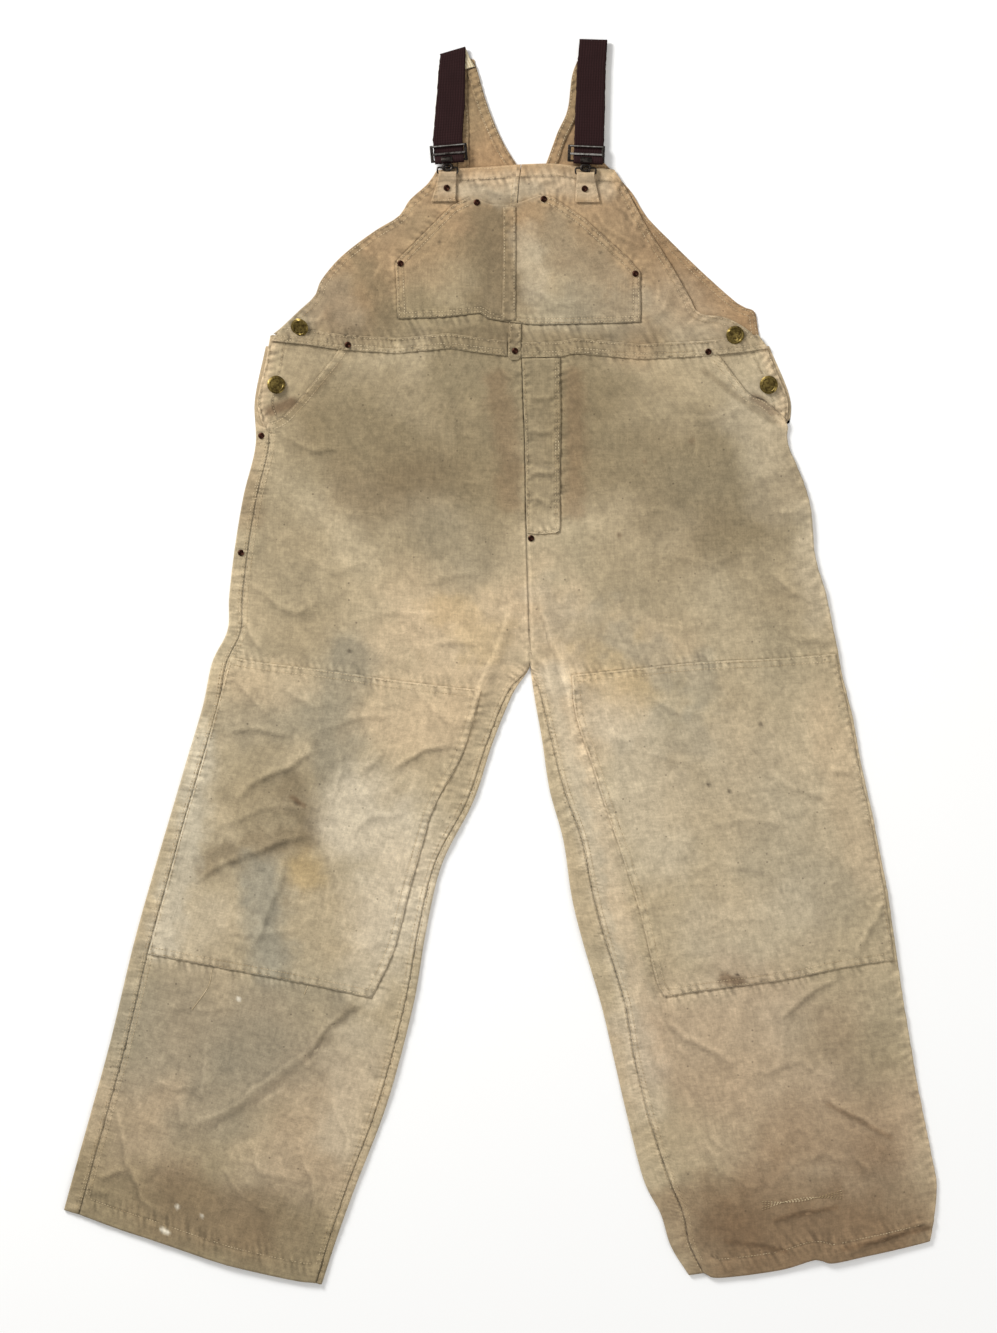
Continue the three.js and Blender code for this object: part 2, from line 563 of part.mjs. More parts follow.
const rod = (from, to, radius, sides = 8) => {
  const [a, b] = [new THREE.Vector3(...from), new THREE.Vector3(...to)];
  const body = new THREE.CylinderGeometry(radius, radius, a.distanceTo(b), sides);
  body.applyQuaternion(new THREE.Quaternion().setFromUnitVectors(new THREE.Vector3(0, 1, 0), b.clone().sub(a).normalize()));
  const middle = a.add(b).multiplyScalar(0.5);
  return solidOf(body.translate(middle.x, middle.y, middle.z));
};
const union = (pieces) => pieces.reduce((whole, piece) => whole.add(piece));

const adjuster = () => {
  const { halfWidth: w, top, middle, bottom } = ADJUSTER;
  const bars = [top, middle, bottom].map((y) => rod([-w, y, PLANE], [w, y, PLANE], BAR));
  const sides = [-w, w].map((x) => rod([x, bottom - BAR, PLANE], [x, top + BAR, PLANE], BAR + 0.2));
  return geometryOf(union([...bars, ...sides]));
};

// The hook: a saddle round the lower bar and its webbing, and an eye that holds the tab's ring.
const hook = (x) => {
  const turn = (degrees, radius) => {
    const angle = THREE.MathUtils.degToRad(degrees);
    return [ADJUSTER.bottom + radius * Math.cos(angle), PLANE + radius * Math.sin(angle)];
  };
  const angles = [110, 135, 160, 185, 210, 235, 260];
  const section = (side) => [
    ...angles.map((degrees) => [x + side * SADDLE.halfWidth, ...turn(degrees, SADDLE.outer)]),
    ...reversed(angles).map((degrees) => [x + side * SADDLE.halfWidth, ...turn(degrees, SADDLE.inner)]),
  ];
  const saddle = loft([section(-1), section(1)]);
  const eye = solidOf(
    new THREE.TorusGeometry(EYE.ring, EYE.wire, 6, 12).rotateY(Math.PI / 2).translate(x, EYE.drop, RING.height),
  );
  return geometryOf(saddle.add(eye));
};

// The wire ring that joins the hook's eye to the cloth tab.
const tabRing = () => {
  const { wire, halfWidth: w, drop, height: z } = RING;
  const corners = [[-w, 0, z], [w, 0, z], [w, -drop, z], [-w, -drop, z]];
  const wires = corners.map((corner, i) => rod(corner, corners[(i + 1) % corners.length], wire));
  const knuckles = corners.map(([x, y]) => solidOf(new THREE.SphereGeometry(wire * 1.1, 8, 6).translate(x, y, z)));
  return geometryOf(union([...wires, ...knuckles]));
};

// A flat band through stations: its left and right edges in plan, and the height of its middle.
const band = (stations, thickness) => {
  const middles = stations.map(([lx, ly, rx, ry, z]) => new THREE.Vector3((lx + rx) / 2, (ly + ry) / 2, z));
  const sections = stations.map(([lx, ly, rx, ry, z], i) => {
    const along = middles[Math.min(i + 1, middles.length - 1)].clone().sub(middles[Math.max(i - 1, 0)]);
    const across = new THREE.Vector3(rx - lx, ry - ly, 0);
    const up = across.clone().cross(along).normalize().multiplyScalar(thickness / 2);
    const corner = (x, y, sign) => [x + sign * up.x, y + sign * up.y, z + sign * up.z];
    return [corner(lx, ly, 1), corner(rx, ry, 1), corner(rx, ry, -1), corner(lx, ly, -1)];
  });
  return loft(sections);
};

const HALF_STRAP = 17.5;
const TOP_RUN = 5.7; // height of the upper run's middle at the top fold
const UNDER_RUN = 3.5; // height of the run that is sewn to the back's arm
const strap = ({ at, turn, front, fold, back }) => {
  const local = (y, z) => {
    const c = Math.cos(turn);
    const s = Math.sin(turn);
    const place = (x) => [at[0] + x * c - y * s, at[1] + x * s + y * c];
    return [...place(-HALF_STRAP), ...place(HALF_STRAP), z];
  };
  const { bottom } = ADJUSTER;
  const around = [-90, -130, 180, 130, 90].map((degrees) => {
    const angle = THREE.MathUtils.degToRad(degrees);
    return local(bottom + WRAP * Math.cos(angle), PLANE + WRAP * Math.sin(angle));
  });
  const lower = [
    local(32, RETURN), local(-3, RETURN), local(-7.3, RETURN + 0.9), ...around,
    local(-7.5, RUN + 4.2), local(-5.2, RUN + 2.45), local(-3, RUN + 0.7), local(-0.5, RUN), local(16, RUN),
  ];
  const [ax, ay, bx, by] = fold;
  const length = Math.hypot(bx - ax, by - ay);
  const out = [-(by - ay) / length, (bx - ax) / length];
  const radius = (TOP_RUN - UNDER_RUN) / 2;
  const over = [90, 50, 10, -30, -65, -90].map((degrees) => {
    const angle = THREE.MathUtils.degToRad(degrees);
    const reach = radius * Math.cos(angle);
    return [
      ax + out[0] * reach, ay + out[1] * reach, bx + out[0] * reach, by + out[1] * reach,
      (TOP_RUN + UNDER_RUN) / 2 + radius * Math.sin(angle),
    ];
  });
  return geometryOf(band([...lower, ...front.map((s) => [...s, TOP_RUN]), ...over, ...back.map((s) => [...s, UNDER_RUN])], WEB));
};

const LEFT_STRAP = {
  at: [-61, 602],
  turn: THREE.MathUtils.degToRad(5),
  front: [[-76, 660, -42, 660], [-73, 700, -41.5, 702]],
  fold: [-71, 716, -41, 725],
  back: [[-68, 704, -33, 708], [-61, 682, -27, 690]],
  hookX: -3,
};
const RIGHT_STRAP = {
  at: [101, 601],
  turn: THREE.MathUtils.degToRad(-2.5),
  front: [[88, 650, 123, 650], [90, 700, 124, 700]],
  fold: [93, 734, 126, 733],
  back: [[88, 712, 122, 712], [84, 684, 118, 684]],
  hookX: 0,
};

// ---------- the cloth tab that holds the ring, folded round its lower wire ----------
const TAB = { halfTop: 10, halfFoot: 15, length: 32, ply: 1 };
const tab = (x, y, base) => {
  const inner = RING.wire + GAP;
  const outer = inner + TAB.ply;
  const z = RING.height;
  const arc = (radius) => [-90, -45, 0, 45, 90].map((degrees) => {
    const angle = THREE.MathUtils.degToRad(degrees);
    return [radius * Math.cos(angle), z + radius * Math.sin(angle)];
  });
  const meet = -9;
  const profile = [[meet, base], ...arc(outer), [meet, base + 2 * TAB.ply + 0.4], [meet, base + TAB.ply + 0.3], ...reversed(arc(inner)), [meet, base + TAB.ply]];
  const section = (side) => profile.map(([py, pz]) => [x + side * TAB.halfTop, y + py, pz]);
  const faces = new THREE.Shape(profile.map(([py, pz]) => new THREE.Vector2(py, pz)));
  const body = new THREE.ExtrudeGeometry(faces, { depth: 2 * TAB.halfTop, bevelEnabled: false });
  const turned = body.applyMatrix4(new THREE.Matrix4().set(0, 0, 1, section(-1)[0][0], 1, 0, 0, y, 0, 1, 0, 0, 0, 0, 0, 1));
  const foot = prism(
    [
      [x - TAB.halfTop, y + meet + 1], [x + TAB.halfTop, y + meet + 1], [x + TAB.halfFoot, y - TAB.length],
      [x - TAB.halfFoot + 2, y - TAB.length], [x - TAB.halfFoot - 1, y - TAB.length + 4],
    ],
    base,
    base + 2 * TAB.ply + 0.4,
  );
  return geometryOf(solidOf(turned).add(foot));
};

const strapSets = { left: LEFT_STRAP, right: RIGHT_STRAP };
const tabTops = {};
for (const [side, set] of Object.entries(strapSets)) {
  add(`strap_${side}`, strap(set), elastic);
  const group = new THREE.Group();
  group.position.set(...set.at, 0);
  group.rotation.z = set.turn;
  root.add(group);
  add(`adjuster_${side}`, adjuster(), steel, group);
  add(`hook_${side}`, hook(set.hookX), steel, group);
  const eye = new THREE.Vector3(set.hookX, EYE.drop, 0).applyMatrix4(
    new THREE.Matrix4().makeRotationZ(set.turn).setPosition(...set.at, 0),
  );
  const ring = add(`tab_ring_${side}`, tabRing(), steel);
  ring.position.set(eye.x, eye.y, 0);
  const base = highestUnder(eye.x, eye.y - 22, 16) + GAP;
  add(`strap_tab_${side}`, tab(eye.x, eye.y - RING.drop, base), duck);
  tabTops[side] = { x: eye.x - 1, y: eye.y - RING.drop - 17, top: base + 2 * TAB.ply + 0.4 };
}

// ---------- rivets and buttons ----------
const lathe = (profile, sides) => {
  const points = profile.map(([r, z]) => new THREE.Vector2(r, z));
  return new THREE.LatheGeometry(points, sides).rotateX(Math.PI / 2);
};
const RIVET = 4.4;
const rivet = () => lathe([[0, 0], [RIVET, 0], [RIVET, 0.5], [3, 1.5], [0, 2.1]], 10);
const BUTTON = 8.5;
const button = () =>
  lathe([[0, 0], [4.5, 0], [4.5, 0.6], [2.2, 0.9], [2.2, 3], [BUTTON, 3.5], [BUTTON - 0.4, 4.8], [0, 5.8]], 14);

const onLayer = (x, y, radius, layers) => highestUnder(x, y, radius) + layers * (CLOTH + GAP) + GAP;
const RIVETS = {
  pocket_left_top: [-28, 543, 1], pocket_right_top: [51, 547, 1], pocket_left_side: [-118, 471, 1],
  pocket_right_side: [159, 459, 1], waist_left: [-180, 375, 1], waist_right: [245, 367, 1], waist_centre: [17, 368, 2],
  fly: [36, 147, 0], side_upper: [-282, 268, 0], side_lower: [-306, 130, 0],
};
for (const [name, [x, y, layers]] of Object.entries(RIVETS)) {
  add(`rivet_${name}`, rivet(), copper).position.set(x, y, onLayer(x, y, RIVET, layers));
}
for (const [side, { x, y, top }] of Object.entries(tabTops)) {
  add(`rivet_tab_${side}`, rivet(), copper).position.set(x, y, top + GAP);
}
const BUTTONS = {
  waist_left: { x: -237, y: 396, tilt: [0.16, 0.12], layers: 1 },
  hip_left: { x: -264, y: 328, tilt: [0, -0.06], layers: 0 },
  waist_right: { x: 277, y: 387, tilt: [0.14, -0.12], layers: 1 },
  hip_right: { x: 316, y: 328, tilt: [0.05, 0.04], layers: 0 },
};
for (const [name, { x, y, tilt, layers }] of Object.entries(BUTTONS)) {
  const mesh = add(`button_${name}`, button(), brass);
  mesh.rotation.set(...tilt, 0);
  mesh.position.set(x, y, onLayer(x, y, BUTTON, layers) + 0.8);
}

export default root;
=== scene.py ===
"""Worn bib overalls of tan cotton duck with double knees, laid flat on their back.

Every cloth piece is a fine sheet over its own cut, laid on the one lie of the garment: its folds, its
crumples and the puckers that washing draws along each seam. Plan positions are in millimetres, +X to the
right and +Y towards the shoulders, and become metres when a mesh is made. "Left" and "right" are as seen
from above. Rivets and buttons take their place from the frame's nodes.
"""

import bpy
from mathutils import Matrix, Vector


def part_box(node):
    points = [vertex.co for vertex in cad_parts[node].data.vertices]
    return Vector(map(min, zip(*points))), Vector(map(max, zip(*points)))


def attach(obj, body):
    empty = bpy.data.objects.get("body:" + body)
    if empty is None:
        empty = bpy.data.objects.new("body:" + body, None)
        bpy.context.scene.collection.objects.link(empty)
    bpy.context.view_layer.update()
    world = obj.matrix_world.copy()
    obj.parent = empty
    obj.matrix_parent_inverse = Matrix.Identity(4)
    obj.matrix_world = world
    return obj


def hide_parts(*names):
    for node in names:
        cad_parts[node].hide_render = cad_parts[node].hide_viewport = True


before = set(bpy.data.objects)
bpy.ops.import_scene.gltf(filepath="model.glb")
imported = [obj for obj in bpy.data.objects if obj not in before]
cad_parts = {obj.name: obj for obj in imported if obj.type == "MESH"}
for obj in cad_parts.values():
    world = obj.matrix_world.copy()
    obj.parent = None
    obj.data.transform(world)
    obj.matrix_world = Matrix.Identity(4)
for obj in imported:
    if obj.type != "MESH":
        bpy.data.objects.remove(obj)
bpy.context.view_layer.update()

import logging
import math
from dataclasses import dataclass, field
from enum import Enum
from typing import Callable

import bmesh
import bpy
import numpy as np
from mathutils import Matrix, Vector

log = logging.getLogger("overalls")

Array = np.ndarray
Points = tuple[tuple[float, float], ...]
Height = Callable[[Array, Array], Array]

MM = 0.001
CLOTH = 1.0  # duck, one ply
GAP = 0.3  # between pieces that lie on each other
LAYER = CLOTH + GAP
MESH_STEP = 2.5  # between the points of a large sheet
CREASE_LIFT = 1.3
UNDER_STEP = 4  # a sheet's hidden face has one point for this many of its upper face
ROLL_STEPS = 8  # the columns of points that take the cloth round a fold

# ---------------------------------------------------------------- the cut, in millimetres

CENTRE_FRONT: Points = ((25, 367), (27, 303), (29, 240), (30, 175), (32, 104), (34, 39), (35, -2))
CENTRE_BY_MOUTH: Points = ((25, 375), (25.5, 352), (26, 335), (26.5, 318), (27, 300), (28, 282))
LEFT_HIP: Points = ((-277, 374), (-290, 310), (-289, 257), (-303, 198), (-313, 139), (-320, 80), (-322, 39))
LEFT_OUTSIDE: Points = (
    (-340, 1), (-351, -50), (-370, -114), (-391, -185), (-412, -256),
    (-434, -336), (-460, -445), (-484, -533), (-500, -590), (-515, -645),
)
LEFT_INSIDE: Points = (
    (14, -37), (-10, -96), (-32, -163), (-69, -237), (-88, -317),
    (-103, -404), (-134, -520), (-171, -617), (-192, -675), (-211, -733),
)
LEFT_HEM: Points = (
    (-503, -661), (-449, -668), (-409, -681), (-342, -704), (-307, -714), (-244, -728), (-219, -736),
)
LEFT_OUTER_STRIP = (16, 16, 16, 16, 16, 16, 16, 17, 18, 18, 18, 19, 19, 19, 19, 19, 19)
LEFT_INNER_STRIP = (4, 4, 4, 4, 4, 4, 5, 6, 6, 7, 8, 9, 10, 10, 9, 8, 7)

RIGHT_HIP: Points = ((317, 374), (342, 310), (340, 257), (363, 196), (371, 127), (384, 79), (395, 27))
RIGHT_OUTSIDE: Points = (
    (404, -18), (416, -67), (427, -126), (441, -191), (455, -262), (461, -303),
    (468, -350), (480, -427), (493, -502), (509, -581), (515, -616), (512, -651), (507, -682),
)
RIGHT_INSIDE: Points = (
    (40, -40), (49, -91), (58, -150), (74, -209), (84, -276), (97, -329),
    (119, -404), (134, -468), (150, -537), (169, -610), (189, -650), (201, -688), (222, -722),
)
RIGHT_HEM: Points = (
    (259, -725), (330, -716), (371, -704), (391, -708), (430, -700), (471, -691), (504, -684),
)
RIGHT_INNER_STRIP = (3, 3, 3, 3, 3, 4, 6, 8, 11, 17, 22, 26, 27, 28, 24, 25, 30, 26, 22, 18)
UNDER_STRIP = 15

WAIST_LOW: Points = (
    (-274, 380), (-233, 376), (-187, 369), (-123, 365), (-62, 371), (-12, 364), (25, 360),
    (70, 361), (88, 365), (165, 358), (241, 362), (289, 367), (316, 371),
)
BAND = 18
LAP = 8
LEFT_MOUTH: Points = ((-186, 377), (-199, 358), (-220, 332), (-239, 309), (-258, 290), (-275, 282))
RIGHT_MOUTH: Points = ((252, 370), (278, 336), (294, 317), (311, 310), (327, 296), (337, 285))

BIB_SEAM: Points = ((24, 588), (20, 545), (18, 470), (18, 402), (22, 368))
BIB_LEFT_SIDE: Points = (
    (-75, 581), (-86, 565), (-107, 546), (-120, 527), (-149, 509), (-187, 480),
    (-211, 452), (-219, 433), (-239, 414), (-258, 396), (-268, 384),
)
BIB_LEFT_TOP: Points = ((-75, 581), (-53, 583), (-17, 585), (24, 588))
BIB_RIGHT_TOP: Points = ((24, 588), (62, 589), (89, 586), (134, 582))
BIB_RIGHT_SIDE: Points = (
    (134, 582), (150, 556), (171, 517), (200, 471), (222, 433), (234, 413), (266, 407), (290, 394),
    (306, 378),
)
BIB_HEM = 15

POCKET_LEFT_TOP: Points = ((-38, 549), (-24, 546), (-12, 541), (10, 540))
POCKET_LEFT_SIDE: Points = ((-38, 549), (-58, 539), (-91, 506), (-124, 473), (-121, 406))
POCKET_LEFT_FOOT: Points = ((-121, 406), (-65, 408), (-24, 413), (-15, 406), (10, 402))
POCKET_RIGHT_TOP: Points = ((10.6, 540), (19, 542), (47, 552))
POCKET_RIGHT_SIDE: Points = ((47, 552), (62, 549), (99, 524), (152, 476), (165, 460), (165, 402))
POCKET_RIGHT_FOOT: Points = ((10.6, 402), (38, 399), (99, 400), (165, 402))

KNEE_LEFT_TOP: Points = ((-318, 7), (-284, 1), (-201, -9), (-119, -21), (-23, -32))
KNEE_LEFT_INNER: Points = (
    (-23, -32), (-34, -74), (-50, -118), (-77, -166), (-91, -210), (-108, -271), (-126, -339), (-152, -395),
)
KNEE_LEFT_OUTER: Points = (
    (-318, 7), (-334, -52), (-352, -117), (-373, -187), (-393, -260), (-412, -330), (-416, -343),
)
KNEE_LEFT_FOOT: Points = ((-416, -343), (-338, -358), (-227, -379), (-152, -395))
KNEE_RIGHT_TOP: Points = ((84, -14), (165, -6), (235, 1), (318, 5), (396, 11))
KNEE_RIGHT_INNER: Points = (
    (84, -14), (89, -63), (108, -120), (124, -171), (145, -232), (166, -300), (183, -372), (194, -394),
)
KNEE_RIGHT_OUTER: Points = (
    (396, 11), (401, -20), (412, -67), (423, -126), (437, -191), (451, -262), (457, -303), (464, -350),
)
KNEE_RIGHT_FOOT: Points = ((194, -394), (235, -387), (338, -373), (401, -360), (464, -350))

FLY_LEFT: Points = ((25.5, 359), (27.5, 303), (29.5, 240), (30.5, 176), (31.5, 153))
FLY_RIGHT: Points = ((70, 360), (71, 287), (70, 216), (70, 160), (66, 154))

BACK_V_LEFT: Points = ((-31, 712), (-27, 697), (-17, 662), (-8, 638), (4, 612), (20, 586), (37, 560))
BACK_V_RIGHT: Points = ((90, 710), (84, 690), (79, 652), (67, 625), (55, 592), (46, 574), (37, 560))
BACK_SEAM: Points = ((37, 560), (30, 480), (24, 376))
BACK_LEFT_ARM: Points = ((-57, 716), (-59, 690), (-59, 640), (-54, 600), (-66, 578))
BACK_RIGHT_ARM: Points = ((117, 712), (118, 690), (119, 640), (117, 600), (132, 580))
BACK_RIGHT_SIDE: Points = (
    (154, 556), (172, 527), (199, 499), (238, 461), (280, 424), (299, 415), (303, 398), (312, 380),
)

# ---------------------------------------------------------------- lines and fields


def array(points: Points) -> Array:
    """The points of a line as an array of rows."""
    return np.asarray(points, float)


def smoothstep(low: float, high: float, value: Array) -> Array:
    """A soft step from 0 at low to 1 at high."""
    t = np.clip((value - low) / (high - low), 0, 1)
    return t * t * (3 - 2 * t)


def through(points: Array, at: Array) -> Array:
    """Places on the smooth curve through points.

    Args:
        points: the points that the curve passes.
        at: places, counted in points from the first.

    Returns:
        One row for each place.
    """
    i = np.clip(np.floor(at).astype(int), 0, len(points) - 2)
    t = (at - i)[:, None]
    more = np.vstack([2 * points[0] - points[1], points, 2 * points[-1] - points[-2]])
    a, b, c, d = (more[i + k] for k in range(4))
    return 0.5 * (2 * b + (c - a) * t + (2 * a - 5 * b + 4 * c - d) * t**2 + (3 * b - a - 3 * c + d) * t**3)


def travelled(line: Array) -> Array:
    """The distance along a line at each of its points."""
    return np.concatenate([[0], np.cumsum(np.linalg.norm(np.diff(line, axis=0), axis=1))])


def evenly(points: Points | Array, count: int, smooth: bool = True) -> Array:
    """A line through points, with count points at equal steps.

    Args:
        points: the line's own points.
        count: how many points the result has.
        smooth: whether the line bends smoothly or turns at its points.

    Returns:
        The points of the new line.
    """
    line = np.asarray(points, float)
    if smooth and len(line) > 2:
        line = through(line, np.linspace(0, len(line) - 1, 24 * len(line)))
    place = travelled(line)
    steps = np.linspace(0, place[-1], count)
    return np.stack([np.interp(steps, place, line[:, k]) for k in range(line.shape[1])], axis=1)


def paired_places(left: Array, right: Array, rows: int) -> Array:
    """Places, counted in points, that step evenly down two matched lines at once."""
    dense = np.linspace(0, len(left) - 1, 24 * len(left))
    place = (travelled(through(left, dense)) + travelled(through(right, dense))) / 2
    return np.interp(np.linspace(0, place[-1], rows), place, dense)


def grid_count(length: float, step: float) -> int:
    """A number of points for a length, so that a sheet's hidden face can skip evenly through them."""
    return UNDER_STEP * max(1, round(length / step / UNDER_STEP)) + 1


def nearest(x: Array, y: Array, line: Array) -> tuple[Array, Array, Array]:
    """How places lie to a line.

    Args:
        x, y: the places.
        line: the line's points.

    Returns:
        The distance to the line, the distance along it, and the side: 1 on its left, -1 on its right.
    """
    best, along, side = np.full(x.shape, np.inf), np.zeros(x.shape), np.ones(x.shape)
    start = 0.0
    for (ax, ay), (bx, by) in zip(line[:-1], line[1:]):
        dx, dy = bx - ax, by - ay
        length = math.hypot(dx, dy)
        t = np.clip(((x - ax) * dx + (y - ay) * dy) / length**2, 0, 1)
        ex, ey = x - ax - t * dx, y - ay - t * dy
        away = np.hypot(ex, ey)
        closer = away < best
        best = np.where(closer, away, best)
        along = np.where(closer, start + t * length, along)
        side = np.where(closer, np.where(dx * ey - dy * ex >= 0, 1.0, -1.0), side)
        start += length
    return best, along, side


def close_to(x: Array, y: Array, line: Array, reach: float) -> Array:
    """Which places lie in the line's box, grown by reach."""
    low, high = line.min(axis=0) - reach, line.max(axis=0) + reach
    return (x > low[0]) & (x < high[0]) & (y > low[1]) & (y < high[1])


class Noise:
    """Smooth random heights in plan, the same ones each time."""

    def __init__(self, seed: int) -> None:
        """Draw the table of heights for a seed."""
        self.table = np.random.default_rng(seed).uniform(-1, 1, (128, 128))

    def at(self, x: Array, y: Array, size: float) -> Array:
        """The noise at places.

        Args:
            x, y: the places.
            size: the distance between one hill and the next.

        Returns:
            Values from -1 to 1.
        """
        u, v = np.asarray(x) / size + 371.3, np.asarray(y) / size + 517.7
        i, j = np.floor(u).astype(int), np.floor(v).astype(int)
        fu, fv = u - i, v - j
        fu, fv = fu * fu * (3 - 2 * fu), fv * fv * (3 - 2 * fv)
        i, j, i1, j1 = i % 128, j % 128, (i + 1) % 128, (j + 1) % 128
        low = self.table[i, j] * (1 - fu) + self.table[i1, j] * fu
        high = self.table[i, j1] * (1 - fu) + self.table[i1, j1] * fu
        return low * (1 - fv) + high * fv

    def layered(self, x: Array, y: Array, size: float, layers: int = 3) -> Array:
        """Noise of one size with finer and weaker noise on it."""
        total = sum(self.at(x, y, size / 2**k) / 2**k for k in range(layers))
        return total / (2 - 0.5 ** (layers - 1))


@dataclass(frozen=True)
class Crease:
    """A fold that the cloth keeps: its line, its height (a trough if negative) and its half width."""

    points: Points
    height: float
    width: float = 7.0

    def find(self, x: Array, y: Array) -> tuple[Array, Array, Array, Array] | None:
        """Where the crease runs.

        Args:
            x, y: places, as flat lists.

        Returns:
            Which places it reaches, and for those the distance, the side and the crease's strength.
        """
        line = array(self.points)
        mask = close_to(x, y, line, 5 * self.width)
        if not mask.any():
            return None
        away, along, side = nearest(x[mask], y[mask], line)
        share = along / travelled(line)[-1]
        return mask, away, side, np.sqrt(np.clip(4 * share * (1 - share), 0, 1))

    def add_to(self, z: Array, x: Array, y: Array) -> None:
        """Raise the cloth at z along the crease."""
        found = self.find(x, y)
        if found:
            mask, away, side, taper = found
            width = self.width * (1 + 0.5 * side)
            rounded = np.sqrt(away**2 + 0.9) - 0.95
            fade = smoothstep(5 * self.width, 2.5 * self.width, away)
            z[mask] += CREASE_LIFT * self.height * taper * np.exp(-rounded / width) * fade

    def colour(self, wear_and_shade: Array, x: Array, y: Array) -> None:
        """Paint the crest paler, as rubbing with painted highlight (a trough's line darker, as painted
        shade), and put painted shade, with some dirt, in the narrow dip on one side.
        """
        found = self.find(x, y)
        if found:
            mask, away, side, taper = found
            strength = min(1.0, abs(self.height) / 2.6) * taper
            # painted highlight with rubbing on a crest; a trough's line is painted darker, as painted shade
            crest = np.exp(-((away / 2.2) ** 2)) * (1 if self.height > 0 else -1)
            # painted shade: the dip beside the crest is darkened on one side of the crease only
            dip = np.exp(-(((away - 4.0) / 2.6) ** 2)) * (side < 0)
            wear_and_shade[mask] += strength * (0.3 * crest - 1.0 * dip)


